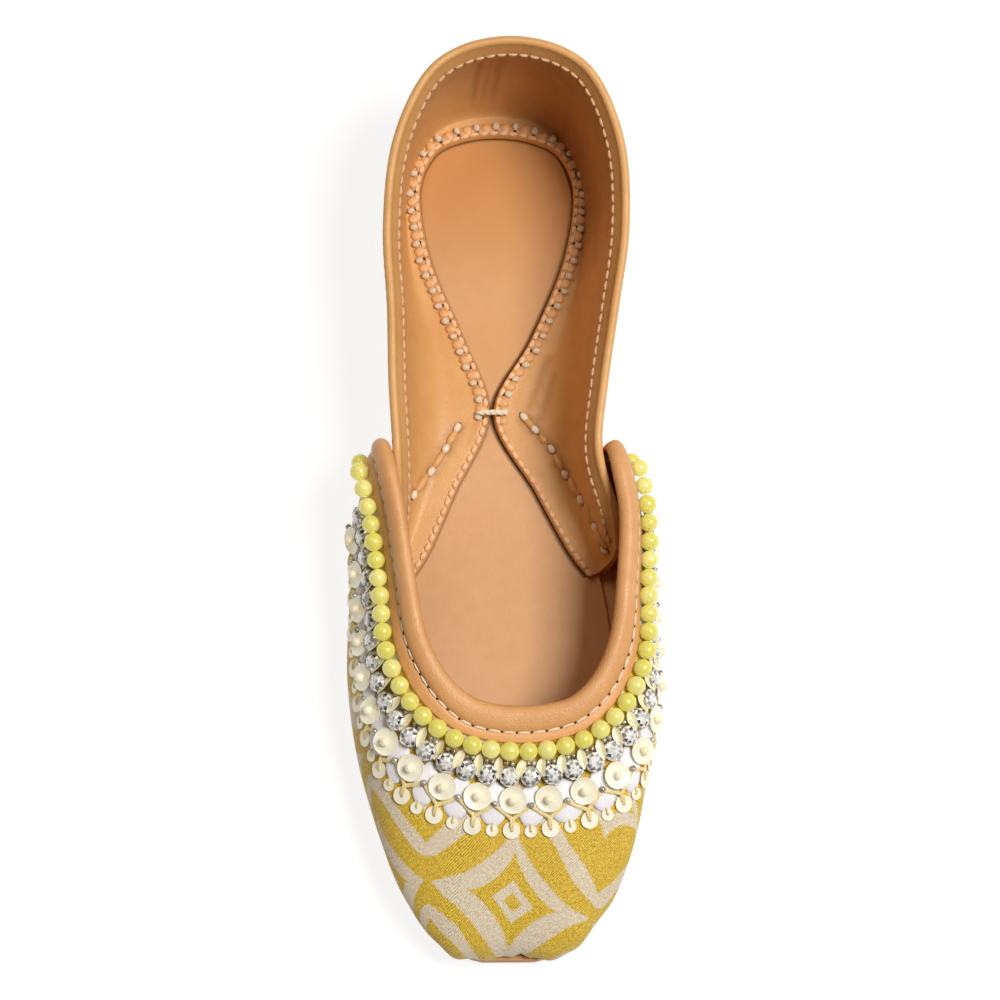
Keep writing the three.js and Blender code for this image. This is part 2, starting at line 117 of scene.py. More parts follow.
def sole_rings(margin, bottom, top, edge_ease, dish):
    """Rings across a flat sole piece, heel to toe, with a rounded edge and a dished seat."""
    share = np.linspace(0, 1, SOLE_RINGS)
    rows = SOLE_OUTLINE * (LENGTH, HALF_BALL)
    edge = through(rows, share)
    slope = unit(np.gradient(edge, axis=0))
    at = edge[:, 0] + slope[:, 1] * margin
    half = np.maximum(0.6, edge[:, 1] - slope[:, 0] * margin)
    inset = np.minimum(edge_ease, half / 2)
    low, high = bottom(at), top(at)
    turn = np.linspace(0, np.pi / 2, EDGE_STEPS)
    rise = [(half - inset + inset * math.sin(a), low + inset - inset * math.cos(a)) for a in turn]
    fall = [(half - inset + inset * math.cos(a), high - inset + inset * math.sin(a)) for a in turn]
    face = []
    for part in np.linspace(1, -1, SEAT_STEPS)[1:-1]:
        hollow_and_painted_shade = dish * (1 - part**2) * ease(*DISH_STARTS, at) * (1 - ease(*DISH_ENDS, at))
        face.append(((half - inset) * part, high - hollow_and_painted_shade))
    right = rise + fall
    left = [(-x, z) for x, z in reversed(right)]
    return np.stack([place(at, middle_line(at) + x, z) for x, z in right + face + left], axis=1)


def loft_faces(rings, size):
    """Faces of a closed body through rings with equal counts of points."""
    first = np.arange(rings - 1)[:, None] * size
    here = np.arange(size)[None, :]
    after = (here + 1) % size
    quads = np.stack([first + here, first + after, first + after + size, first + here + size], -1)
    ends = [list(range(size)), list(range((rings - 1) * size, rings * size))]
    return quads.reshape(-1, 4).tolist() + ends


def add_piece(name, points, faces, sharp=40):
    """A mesh object from points in millimetres."""
    mesh = bpy.data.meshes.new(name)
    mesh.from_pydata((np.reshape(points, (-1, 3)) / 1000).tolist(), [], faces)
    body = bmesh.new()
    body.from_mesh(mesh)
    bmesh.ops.recalc_face_normals(body, faces=body.faces)
    body.to_mesh(mesh)
    body.free()
    mesh.shade_smooth()
    mesh.set_sharp_from_angle(angle=math.radians(sharp))
    piece = bpy.data.objects.new(name, mesh)
    bpy.context.scene.collection.objects.link(piece)
    return piece


def dye(red, green, blue):
    """A colour as seen, 0 to 255, in the shader's own numbers."""
    seen = [part / 255 for part in (red, green, blue)]
    return (*[s / 12.92 if s < 0.04045 else ((s + 0.055) / 1.055) ** 2.4 for s in seen], 1)


class Shade:
    """A socket in a material's node tree."""

    def __init__(self, tree, socket=None):
        self.tree = tree
        self.socket = socket

    def node(self, kind, settings=None, sockets=None, out=0):
        made = self.tree.nodes.new("ShaderNode" + kind)
        for name, value in (settings or {}).items():
            setattr(made, name, value)
        for name, value in (sockets or {}).items():
            if isinstance(value, Shade):
                self.tree.links.new(value.socket, made.inputs[name])
            else:
                made.inputs[name].default_value = value
        return Shade(self.tree, made.outputs[out])

    def math(self, operation, *values):
        return self.node("Math", {"operation": operation}, dict(enumerate(values)))

    def __add__(self, other):
        return self.math("ADD", self, other)

    __radd__ = __add__

    def __sub__(self, other):
        return self.math("SUBTRACT", self, other)

    def __rsub__(self, other):
        return self.math("SUBTRACT", other, self)

    def __mul__(self, other):
        return self.math("MULTIPLY", self, other)

    __rmul__ = __mul__

    def __truediv__(self, other):
        return self.math("DIVIDE", self, other)

    def __pow__(self, other):
        return self.math("POWER", self, other)

    def __abs__(self):
        return self.math("ABSOLUTE", self)

    def ease(self, low, high):
        sockets = {"Value": self, "From Min": low, "From Max": high}
        return self.node("MapRange", {"interpolation_type": "SMOOTHSTEP"}, sockets)

    def mix(self, first, second):
        """The first colour where this value is 0, and the second where it is 1."""
        return self.node("Mix", {"data_type": "RGBA"}, {0: self, 6: first, 7: second}, 2)

    def noise(self, vector, scale, detail=3):
        return self.node("TexNoise", {}, {"Vector": vector, "Scale": scale, "Detail": detail})

    def bump(self, height, strength, distance):
        sockets = {"Strength": strength, "Distance": distance, "Height": height}
        return self.node("Bump", {}, sockets)


def new_finish(name, fixed):
    """A material, its node maker and its surface, with the sockets that stay the same set."""
    material = bpy.data.materials.new(name)
    material.use_nodes = True
    surface = material.node_tree.nodes["Principled BSDF"]
    for socket, value in fixed.items():
        surface.inputs[socket].default_value = value
    return material, Shade(material.node_tree), surface


def lay(surface, **values):
    """Links what changes over a surface to its sockets."""
    for name, value in values.items():
        socket = surface.inputs[name.replace("_", " ").title()]
        value.tree.links.new(value.socket, socket)


def leather(name, pale, deep, roughness, grain, hollow_and_painted_shade=None):
    """Tanned leather: a cloudy colour, fine pebbled grain and a soft gloss from rubbing. Given a colour
    of painted shade, it darkens each point of a piece towards it by the painted shade stored there."""
    material, shade, surface = new_finish(name, {"Specular IOR Level": 0.4})
    where = shade.node("TexCoord", out="Object")
    cloud = shade.noise(where, 26, 4)
    mottle = shade.noise(where, 210)
    pebble = shade.node("TexVoronoi", {"feature": "DISTANCE_TO_EDGE"}, {"Vector": where, "Scale": 1150})
    fibre = shade.noise(where, 3100, 2)
    tint_and_painted_light = (cloud * 0.75 + mottle * 0.25).ease(0.36, 0.66)
    height = pebble.ease(0, 0.22) * 0.7 + fibre * 0.5
    colour = tint_and_painted_light.mix(dye(*pale), dye(*deep))
    # painted shade: the stored amount darkens the leather towards the shade colour
    if hollow_and_painted_shade:
        colour = shade.node("Attribute", {"attribute_name": "hollow_and_painted_shade"}, out="Fac").mix(colour, dye(*hollow_and_painted_shade))
    lay(
        surface,
        base_color=colour,
        roughness=roughness + (mottle - 0.5) * 0.22 + (fibre - 0.5) * 0.1,
        normal=shade.bump(height, grain, 0.00025),
    )
    return material


outsole_rings = sole_rings(0, sole_lift, outsole_top, OUTSOLE_EASE, 0)
outsole = add_piece("outsole_hide", outsole_rings, loft_faces(*outsole_rings.shape[:2]))
outsole.data.materials.append(leather("sole_hide", (206, 156, 108), (190, 136, 88), 0.62, 0.35))
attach(outsole, "root")
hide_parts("outsole")


# Insole
# A thin sock of smooth tan leather pasted over the inside of the sole, a little dished by the
# heel. Its colour is darker and warmer towards the heel, paler under the arch.
INSOLE_THICKNESS = 2
INSOLE_MARGIN = 6.5
INSOLE_EASE = 0.5
INSOLE_DISH = 0.4
SOCK_COLOURS = dye(208, 157, 105), dye(203, 151, 98)
HEEL_COLOUR = dye(198, 136, 70)


def insole_bottom(at):
    return outsole_top(at) + GAP


def insole_top(at):
    return insole_bottom(at) + INSOLE_THICKNESS


insole_rings = sole_rings(INSOLE_MARGIN, insole_bottom, insole_top, INSOLE_EASE, INSOLE_DISH)
insole = add_piece("insole_sock", insole_rings, loft_faces(*insole_rings.shape[:2]))
sock, shade, surface = new_finish("sock_leather", {"Specular IOR Level": 0.45})
where = shade.node("TexCoord", out="Object")
along = shade.node("SeparateXYZ", {}, {"Vector": where}, "Y")
cloud = shade.noise(where, 20, 4)
mottle = shade.noise(where, 240)
pebble = shade.node("TexVoronoi", {"feature": "DISTANCE_TO_EDGE"}, {"Vector": where, "Scale": 1500})
fibre = shade.noise(where, 3600, 2)
heel_tint = (along + (cloud - 0.5) * 0.02).ease(0.06, 0.1)
sock_tone = (cloud * 0.7 + mottle * 0.3).ease(0.36, 0.66)
sock_colour = sock_tone.mix(*SOCK_COLOURS)
lay(
    surface,
    base_color=heel_tint.mix(sock_colour, HEEL_COLOUR),
    roughness=0.46 + (mottle - 0.5) * 0.2 + (fibre - 0.5) * 0.08,
    normal=shade.bump(pebble.ease(0, 0.25) * 0.5 + fibre * 0.4, 0.16, 0.0002),
)
insole.data.materials.append(sock)
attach(insole, "root")
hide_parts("insole")


# Quarter
# One strip of soft tan leather round the heel and sides. Its top edge is folded over and
# stitched, and its foot is turned in as a flange that lies on the insole.
QUARTER_THICKNESS = 1.8
FLANGE_THICKNESS = 1.5
HEEL_HEIGHT = 58
RIM_SWELL = 0.5
RIM_PAD = 2.2
RIM_DENT = 0.16
RIM_STITCH_DOWN = 3.9
FILLET_LARGEST = 11
LACING_HEIGHT = 1.1
LACING_WIDTH = 4.4
LACING_PITCH = 5.08
HOLE_INWARD = 3.0
SEAM_INWARD = 1.0
LACED_SECTIONS = 6
QUARTER_RINGS = 801
WALL_STEPS, RIM_STEPS, BEND_STEPS, FLAT_STEPS, RIDGE_STEPS = 28, 11, 18, 7, 19
BEND_FROM = 15
FLANGE_LIP = [(0, -0.55), (0.12, -1), (0, -1.5)]
TAN_COLOURS = (218, 165, 103), (210, 155, 92)
# painted shade: the colour that creases, crevices and the heel's cup darken towards
PAINTED_SHADE_COLOUR = (112, 62, 26)
# foot at, foot half, rim at, rim half, rim height, swell, rise, reach, drop, lean
QUARTER_SECTIONS = np.array(
    [
        (0.008, 0, 0.014, 0, 1, 2.6, 14, 2.6, 16, 3),
        (0.024, 0.37, 0.026, 0.37, 0.988, 2.6, 14, 2.4, 16, 3),
        (0.068, 0.605, 0.06, 0.62, 0.962, 3, 14, 1.6, 15, 2.8),
        (0.138, 0.725, 0.13, 0.8, 0.893, 3.2, 13, 0.6, 14, 2.3),
        (0.222, 0.72, 0.218, 0.842, 0.822, 3, 12, 0, 13, 1.6),
        (0.305, 0.68, 0.305, 0.79, 0.777, 2.4, 12, 0, 12, 0.6),
        (0.388, 0.645, 0.388, 0.745, 0.743, 2, 11, 0, 11, -0.8),
        (0.468, 0.695, 0.462, 0.71, 0.7, 1.6, 10, 0, 10, -1.1),
        (0.53, 0.745, 0.522, 0.765, 0.57, 1, 8, 0.4, 8, 1.4),
        (0.568, 0.8, 0.556, 0.8, 0.4, 0.6, 5, 0.6, 5, 1.8),
    ]
)
# flange edge at, half, lean
FLANGE_EDGE = np.array(
    [
        (0.058, 0, 0.9),
        (0.064, 0.26, 0.9),
        (0.082, 0.455, 0.9),
        (0.128, 0.555, 0.9),
        (0.208, 0.475, 0.8),
        (0.3, 0.24, 0.6),
        (0.389, 0.015, -1.4),
        (0.478, 0.285, -0.4),
        (0.544, 0.485, 0.4),
        (0.574, 0.61, 0.8),
    ]
)
UP = np.array([0, 0, 1.0])
SLOPE = 1e-3


def bell(value, middle, width):
    return np.exp(-(((value - middle) / width) ** 2))


def run_of(lines):
    """The distance of each point of a line from its first point."""
    steps = np.linalg.norm(np.diff(lines, axis=-2), axis=-1)
    return np.concatenate([np.zeros((*steps.shape[:-1], 1)), np.cumsum(steps, axis=-1)], axis=-1)


def below_top(lines):
    """The distance of each point of a line from its last point."""
    return run_of(lines[:, ::-1])[:, ::-1]


def both_sides(point_of):
    """A row of points from the left end round the shoe to the right end."""
    return np.vstack([point_of(-1)[:0:-1], point_of(1)])


class Wall:
    """An upper's wall: t runs round the shoe, and v climbs each section from foot to top."""

    def __init__(self, sections, top_height, outside):
        foot_at, foot_half, top_at, top_half, top_z, swell, rise, reach, drop, lean = sections.T
        foot_at = foot_at * LENGTH
        foot_z = outsole_top(foot_at) + GAP
        middle = middle_line(foot_at)
        self.outside = outside
        self.foot = both_sides(lambda side: place(foot_at, middle + side * foot_half * HALF_BALL, foot_z))
        self.top = both_sides(
            lambda side: place(top_at * LENGTH, lean + side * top_half * HALF_BALL, top_z * top_height)
        )
        self.leave_foot = both_sides(lambda side: np.stack([swell, rise], axis=-1))
        self.leave_top = both_sides(lambda side: np.stack([reach, drop], axis=-1))

    def tangent(self, curve, t):
        t = np.clip(t, SLOPE, 1 - SLOPE)
        return unit(through(curve, t + 1e-4) - through(curve, t - 1e-4))

    def outward(self, curve, t):
        flat = np.cross(self.tangent(curve, t), UP) * (1, 1, 0)
        return unit(flat) * self.outside

    def point(self, t, v):
        foot, top = through(self.foot, t), through(self.top, t)
        low, high = through(self.leave_foot, t), through(self.leave_top, t)
        steep = self.tangent(self.top, t)[..., 2:] ** 2
        third = (top - foot) / 3 * steep
        lower = foot + self.outward(self.foot, t) * low[..., :1] + UP * low[..., 1:] * (1 - steep) + third
        upper = top + self.outward(self.top, t) * high[..., :1] - UP * high[..., 1:] * (1 - steep) - third
        v = np.asarray(v)[..., None]
        w = 1 - v
        return w**3 * foot + 3 * w**2 * v * lower + 3 * w * v**2 * upper + v**3 * top

    def normal(self, t, v):
        t0, t1 = np.maximum(0, t - SLOPE), np.minimum(1, t + SLOPE)
        v0, v1 = np.maximum(0, v - SLOPE), np.minimum(1, v + SLOPE)
        round_shoe = self.point(t1, v) - self.point(t0, v)
        climb = self.point(t, v1) - self.point(t, v0)
        return unit(np.cross(round_shoe, climb)) * self.outside

    def share_down(self, t, distance):
        """The share v of each section that lies a distance down the wall from its top."""
        t, distance = np.broadcast_arrays(np.asarray(t, float), distance)
        samples = np.linspace(1, 0, 49)
        line = self.point(t[..., None] + 0 * samples, samples + 0 * t[..., None])
        run = run_of(line)
        after = np.clip((run < distance[..., None]).sum(axis=-1), 1, 48)
        low = np.take_along_axis(run, after[..., None] - 1, -1)[..., 0]
        high = np.take_along_axis(run, after[..., None], -1)[..., 0]
        return 1 - (after - 1 + (distance - low) / (high - low)) / 48

    def spot(self, t, distance):
        """Place, downward direction and normal on the wall, a distance down from its top."""
        t, distance = np.broadcast_arrays(np.asarray(t, float), distance)
        v = self.share_down(t, distance)
        down = unit(self.point(t, v - SLOPE) - self.point(t, v + SLOPE))
        return self.point(t, v), down, self.normal(t, v)

    def even(self, distance, count, ears):
        """Evenly spaced t along the line a distance down the wall, short of both ears."""
        samples = np.linspace(ears[0], 1 - ears[1], 600)
        line = self.spot(samples, distance)[0]
        run = run_of(line)
        return np.interp(np.linspace(0, run[-1], count), run, samples)


def flange_top(at):
    return insole_top(at) + GAP + FLANGE_THICKNESS


quarter_wall = Wall(QUARTER_SECTIONS, HEEL_HEIGHT, -1)
edge_at, edge_half, edge_lean = FLANGE_EDGE.T
flange_edge = both_sides(
    lambda side: place(edge_at * LENGTH, edge_lean + side * edge_half * HALF_BALL, 0)
)


def laced_share(t):
    section = np.abs(2 * t - 1) * (len(QUARTER_SECTIONS) - 1)
    return 1 - ease(LACED_SECTIONS - 0.4, LACED_SECTIONS + 0.6, section)


class Flange:
    """The turned-in foot of the quarter, at places t round the shoe."""

    def __init__(self, t):
        foot = quarter_wall.point(t, 0 * t)
        self.foot = foot - quarter_wall.outward(quarter_wall.foot, t) * QUARTER_THICKNESS
        edge = through(flange_edge, t)
        across = (edge - self.foot) * (1, 1, 0)
        self.width = np.linalg.norm(across, axis=-1)
        self.across = unit(across)
        self.lacing = np.minimum(LACING_WIDTH, self.width / 2)
        self.fillet = np.minimum(FILLET_LARGEST, (self.width - self.lacing) * 0.8)

    def on(self, distance, above):
        point = self.foot + self.across * np.asarray(distance)[..., None]
        point[..., 2] = flange_top(LENGTH / 2 - point[..., 1]) + above
        return point


def rim_swell(t, down):
    """The padded wall slopes in from its edge to the stitching, which pulls it in a little."""
    padded = RIM_PAD * ease(0, 0.05, np.minimum(t, 1 - t)) * ease(-0.8, RIM_STITCH_DOWN + 0.8, down)
    return padded - RIM_DENT * bell(down, RIM_STITCH_DOWN, 0.5)


# the wall, outside and inside, and the fold that joins them along the rim
t = np.linspace(0, 1, QUARTER_RINGS)
flange = Flange(t)
laced = laced_share(t)
grid_t, grid_v = np.meshgrid(t, np.linspace(0, 1, WALL_STEPS), indexing="ij")
face = quarter_wall.point(grid_t, grid_v)
face_normal = quarter_wall.normal(grid_t, grid_v)
face_down = below_top(face)
outer = face + face_normal * (RIM_SWELL * (1 - ease(0.4, 4, face_down)))[..., None]
inner = face - face_normal * (QUARTER_THICKNESS + rim_swell(grid_t, face_down))[..., None]
rim_turn = np.linspace(0, np.pi, RIM_STEPS)[1:-1]
rim_middle = (outer[:, -1] + inner[:, -1]) / 2
rim_arm = (outer[:, -1] - inner[:, -1]) / 2
rim_up = unit(face[:, -1] - face[:, -2]) * np.linalg.norm(rim_arm, axis=1)[:, None] * 0.9
rim = np.stack([rim_middle + rim_arm * math.cos(a) + rim_up * math.sin(a) for a in rim_turn], axis=1)

# the bend at the foot, and the flange in from it
corner = flange.on(np.minimum(2, flange.fillet * 0.4), 0.2)
bend_end = flange.on(flange.fillet, 0)
bend = np.stack(
    [
        (1 - w) ** 2 * inner[:, BEND_FROM] + 2 * w * (1 - w) * corner + w * w * bend_end
        for w in np.linspace(0, 1, BEND_STEPS)[1:]
    ],
    axis=1,
)
flat_to = flange.width - flange.lacing
flat_shares = np.linspace(0, 1, FLAT_STEPS)[1:]
flat = np.stack([flange.on(flange.fillet + (flat_to - flange.fillet) * w, 0) for w in flat_shares], axis=1)


def edge_height(inward, amount):
    """The flange's edge, by the distance in from it: a thin rolled hem with a groove for the
    machine row, and where it is laced a fat roll under the lacing."""
    hem = 0.28 * bell(inward, 0.5, 0.5) - 0.16 * bell(inward, SEAM_INWARD, 0.4)
    roll = 0.5 * bell(inward, 0.4, 0.45)
    return hem + LACING_HEIGHT * amount * (roll + 0.6 * bell(inward, 2.3, 1.3))


# painted shade darkens the crevices of the laced ridge
ridge, ridge_painted_shade = [], []
for u in np.linspace(0, 1, RIDGE_STEPS)[1:-1]:
    inward = flange.lacing * (1 - u)
    fall = -0.5 * ease(0.88, 1, u)
    height = edge_height(inward, laced) * ease(0, 0.12, u)
    ridge.append(flange.on(flat_to + flange.lacing * u, height + fall))
    ridge_painted_shade.append(laced * ease(0.5, 0.9, inward) * (1 - ease(3.5, 4.3, inward)))
ridge = np.stack(ridge, axis=1)
lip = np.stack([flange.on(flange.width + past, above) for past, above in FLANGE_LIP], axis=1)
under = np.stack([flange.on(flange.width * w, -FLANGE_THICKNESS) for w in (0.66, 0.33, 0)], axis=1)
quarter_rings = np.concatenate(
    [outer, rim, inner[:, :BEND_FROM:-1], bend, flat, ridge, lip, under, flange.foot[:, None]], axis=1
)

# painted shade: creases take a darker colour, and so does the heel's cup on the right, most of all low down
hollow_and_painted_shade = np.zeros(quarter_rings.shape[:2])
rim_end = WALL_STEPS + len(rim_turn)
ridge_to = hollow_and_painted_shade.shape[1] - lip.shape[1] - under.shape[1] - 1
ridge_from = ridge_to - ridge.shape[1]
hollow_and_painted_shade[:, ridge_from:ridge_to] = 0.2 * np.stack(ridge_painted_shade, axis=1)
cup = quarter_rings[:, rim_end + 3 : ridge_from]
# painted shade in the heel's cup, strongest on the right and at the back
cup_painted_shade = ease(-6, 20, cup[..., 0]) * ease(62, 88, cup[..., 1])
hollow_and_painted_shade[:, rim_end + 3 : ridge_from] = cup_painted_shade * (0.62 - 0.3 * ease(14, 34, cup[..., 2]))

# hand stitches go down through the leather, which stands up as a tunnel between each two; two
# soft folds run beside the lacing on the right; all are placed in plan, as seen from above the toe
ABOVE_TOE = Vector((-45, -240, 970))
FLAP_TOP = 22
HAND_STITCHES = [
    [(-12.4, 23.7), (-15.7, 17.7), (-19.8, 11.3), (-24.7, 4.7), (-28.2, -2.0)],
    [(6.3, 26.8), (9.3, 23.2), (13.9, 17.7), (17.7, 10.4), (22.0, 3.2), (25.9, -4.7), (28.4, -11.0)],
]
# along the rim from the middle of the back, share of the depth
HEEL_CREASES = [(-8.0, 1.0), (-5.0, 0.6), (-1.8, 0.9)]
SOFT_FOLDS = [[(13.1, 44.3), (8.0, 30.4)], [(14.4, 38.7), (10.9, 26.8)]]
# depth, or share of painted shade, and how far it reaches
HAND_DENT, FOLD_DENT = (0.4, 1.7), (0.45, 1.5)
HAND_PAINTED_SHADE, TUNNEL_PAINTED_SHADE, FOLD_PAINTED_SHADE = (0.75, 1.6), (0.5, 2.0), (0.28, 1.3)
CREASE_DENT, CREASE_PAINTED_SHADE = 0.55, 0.3
quarter_tree = BVHTree.FromPolygons(
    [tuple(p) for p in quarter_rings.reshape(-1, 3)], loft_faces(*quarter_rings.shape[:2])
)


def drop(x, y):
    """The place and normal of the leather that shows over a point of the flange's plan."""
    aim = Vector((x, y, float(flange_top(LENGTH / 2 - y))))
    hit = quarter_tree.ray_cast(ABOVE_TOE, (aim - ABOVE_TOE).normalized())
    if hit[0] is None or hit[0].z > FLAP_TOP:
        return None
    return np.array(hit[0]), np.array(hit[1]) * (1 if hit[1].dot(ABOVE_TOE - aim) > 0 else -1)


def on_quarter(plan, ways):
    """Places, directions and normals of the quarter's leather under points of its plan."""
    found = [(drop(x, y), way) for (x, y), way in zip(plan, ways)]
    spots = np.array([hit[0] for hit, _ in found if hit])
    out = np.array([hit[1] for hit, _ in found if hit])
    along = np.array([(way[0], way[1], 0) for hit, way in found if hit])
    return spots, unit(along - out * (along * out).sum(axis=1, keepdims=True)), out


rows = [np.array(row) for row in HAND_STITCHES]
hand_spots, hand_along, hand_out = on_quarter(
    np.vstack(rows), unit(np.vstack([np.gradient(row, axis=0) for row in rows]))
)
spans = np.vstack([np.diff(row, axis=0) for row in rows])
tunnel_spots, tunnel_along, tunnel_out = on_quarter(
    np.vstack([(row[1:] + row[:-1]) / 2 for row in rows]), unit(spans)
)
fold_share = np.linspace(0, 1, 40)[:, None]
fold_plan = np.vstack([np.outer(1 - fold_share, a) + np.outer(fold_share, b) for a, b in SOFT_FOLDS])
fold_spots = on_quarter(fold_plan, np.ones_like(fold_plan))[0]

# normals out of the leather, which point up on the flange
ring_out = unit(np.cross(np.gradient(quarter_rings, axis=0), np.gradient(quarter_rings, axis=1)))
ring_out *= np.sign(ring_out[len(t) // 2, -20, 2])


def near(spots, amount, reach):
    """An amount at each of some spots, which fades over a reach, for all the quarter's points."""
    closest = np.full(hollow_and_painted_shade.shape, 1e9)
    for spot in spots:
        closest = np.minimum(closest, np.linalg.norm(quarter_rings - spot, axis=2))
    return amount * bell(closest, 0, reach)


def store(piece, name, values, domain="POINT"):
    """Keeps a number on every point or face of a piece, for its finish to read."""
    layer = piece.data.attributes.new(name, "FLOAT", domain)
    layer.data.foreach_set("value", np.ravel(values).astype(float))


# three creases down the inside of the back, where the leather was folded on the last
rim_line = quarter_wall.point(t, 0 * t + 1)
rim_run = run_of(rim_line)
rim_run = rim_run - rim_run[len(t) // 2]
crease = sum(deep * bell(rim_run, along, 1.2) for along, deep in HEEL_CREASES)
below_rim = np.arange(hollow_and_painted_shade.shape[1]) - rim_end
crease = crease[:, None] * (ease(3, 6, below_rim) * (1 - ease(13, 24, below_rim)))[None, :]
raised = -near(hand_spots, *HAND_DENT) - near(fold_spots, *FOLD_DENT) - CREASE_DENT * crease
# painted shade round the hand stitches, beside the tunnels, along the soft folds and in the creases, on the
# inside only
painted_shade_marks = near(hand_spots, *HAND_PAINTED_SHADE) + near(tunnel_spots, *TUNNEL_PAINTED_SHADE)
painted_shade_marks = painted_shade_marks + near(fold_spots, *FOLD_PAINTED_SHADE) + CREASE_PAINTED_SHADE * crease
inside_from = rim_end - 1
raised[:, :inside_from] = 0
hollow_and_painted_shade[:, inside_from:] += painted_shade_marks[:, inside_from:]
quarter_rings = quarter_rings + ring_out * raised[..., None]

quarter = add_piece("quarter_strip", quarter_rings, loft_faces(*quarter_rings.shape[:2]), 50)
# painted shade on every point of the quarter
store(quarter, "hollow_and_painted_shade", np.clip(hollow_and_painted_shade, 0, 1))
tan = leather("tan_hide", *TAN_COLOURS, 0.44, 0.2, PAINTED_SHADE_COLOUR)
quarter.data.materials.append(tan)
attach(quarter, "root")
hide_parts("quarter")


# Stitching of the quarter
# A pale machine row under the folded rim and along the flange's edge; over it, in white cotton,
# the hand stitches that pull the flaps down and the one that fills each hole of the lacing.
RIM_PITCH = 3.05
SEAM_PITCH = 2.8
# length, radius, rise and flatness
RIM_STITCH = 2.6, 0.48, 0.3
RIM_BACK_STITCH = 2.6, 0.42, 0.14
EDGE_STITCH = 2.5, 0.72, 0.2
HAND_STITCH = 2.7, 0.98, 0.45, 0.9
LACING_PUFF = 3.2, 1.35, 0.35, 0.5
# what a tunnel is shorter than its space; its radius, rise and flatness
TUNNEL_SHORT = 1.6
TUNNEL_STITCH = 1.1, 0.45, 0.8
HOLE_APART = 1.3
# height of the painted shadow strip over the insole's edge
SHADOW_STRIP_LEVEL = -1.74
# radius, height
HOLE_PROFILE = [(0.04, -0.3), (0.3, -0.3), (0.42, 0.02), (0.3, 0.12), (0.04, 0.1)]


def repeated(faces, points_each, count):
    """The faces of one part, for each of a piece's like parts."""
    return [[i + k * points_each for i in face] for k in range(count) for face in faces]


def tubes(name, paths, outs, radius, sides=7, flat=1.0):
    """Closed tubes along paths: arrays of tubes, points, and xyz."""
    paths = np.asarray(paths, float)
    outs = np.broadcast_to(outs, paths.shape)
    radius = np.broadcast_to(np.asarray(radius, float), paths.shape[:2])[..., None]
    tangent = unit(np.gradient(paths, axis=1))
    side = unit(np.cross(tangent, outs))
    out = np.cross(side, tangent)
    turn = np.linspace(0, 2 * np.pi, sides, endpoint=False)
    rings = np.stack(
        [paths + radius * (side * math.cos(a) + out * (math.sin(a) * flat)) for a in turn], axis=2
    )
    count, steps = paths.shape[:2]
    return add_piece(name, rings, repeated(loft_faces(steps, sides), steps * sides, count), 60)


def stitches(name, middle, along, out, length, radius, rise, flat=0.8):
    """Short plump stitches, rounded where their ends go down into the leather."""
    share = np.linspace(-1, 1, 11)
    lift = rise * (1 - share**4)
    paths = (
        middle[:, None]
        + along[:, None] * (share[None, :, None] * length / 2)
        + out[:, None] * lift[None, :, None]
    )
    return tubes(name, paths, out[:, None], radius * np.sqrt(1.03 - share**2)[None], 9, flat)


def every(points, pitch, offset=0.0):
    """Places and directions a pitch apart along a line of points."""
    run = run_of(points[:, :3])
    stops = np.arange(offset, run[-1], pitch)
    at = np.stack([np.interp(stops, run, points[:, k]) for k in range(points.shape[1])], axis=1)
    ahead = np.stack([np.interp(stops + 0.3, run, points[:, k]) for k in range(3)], axis=1)
    behind = np.stack([np.interp(stops - 0.3, run, points[:, k]) for k in range(3)], axis=1)
    return at, unit(ahead - behind)


def sewn_row(name, line, out, pitch, offset, size):
    """A machine row: stitches of one size, a pitch apart along a line."""
    spots, along = every(np.hstack([line, out]), pitch, offset)
    return stitches(name, spots[:, :3], along, unit(spots[:, 3:]), *size)


def turned(name, profile, centres, axis, across, sides, sizes=1.0, sharp=40):
    """Round pieces turned from one closed profile of radius and height, one at each centre."""
    profile = np.asarray(profile, float)
    sizes = np.broadcast_to(np.asarray(sizes, float), (len(centres),))[:, None, None, None]
    turn = np.linspace(0, 2 * np.pi, sides, endpoint=False)
    third = np.cross(axis, across)
    ring = across[:, None] * np.cos(turn)[None, :, None] + third[:, None] * np.sin(turn)[None, :, None]
    body = ring[:, :, None] * profile[None, None, :, :1] + axis[:, None, None] * profile[None, None, :, 1:]
    points = centres[:, None, None] + body * sizes
    size = len(profile)
    here = np.arange(sides)[:, None] * size
    next_side = ((np.arange(sides) + 1) % sides)[:, None] * size
    k = np.arange(size)[None, :]
    after = (k + 1) % size
    one = np.stack([here + k, here + after, next_side + after, next_side + k], axis=-1).reshape(-1, 4)
    faces = (np.arange(len(centres))[:, None, None] * sides * size + one[None]).reshape(-1, 4).tolist()
    return add_piece(name, points, faces, sharp)


def cotton(name, pale, deep):
    """Twisted cotton thread, matt, a little darker between its plies."""
    material, shade, surface = new_finish(name, {"Specular IOR Level": 0.2, "Sheen Weight": 0.25})
    where = shade.node("TexCoord", out="Object")
    ply = shade.noise(where, 2200, 2)
    lay(
        surface,
        base_color=ply.ease(0.3, 0.7).mix(dye(*deep), dye(*pale)),
        roughness=0.78 + (ply - 0.5) * 0.2,
        normal=shade.bump(ply, 0.4, 0.0002),
    )
    return material


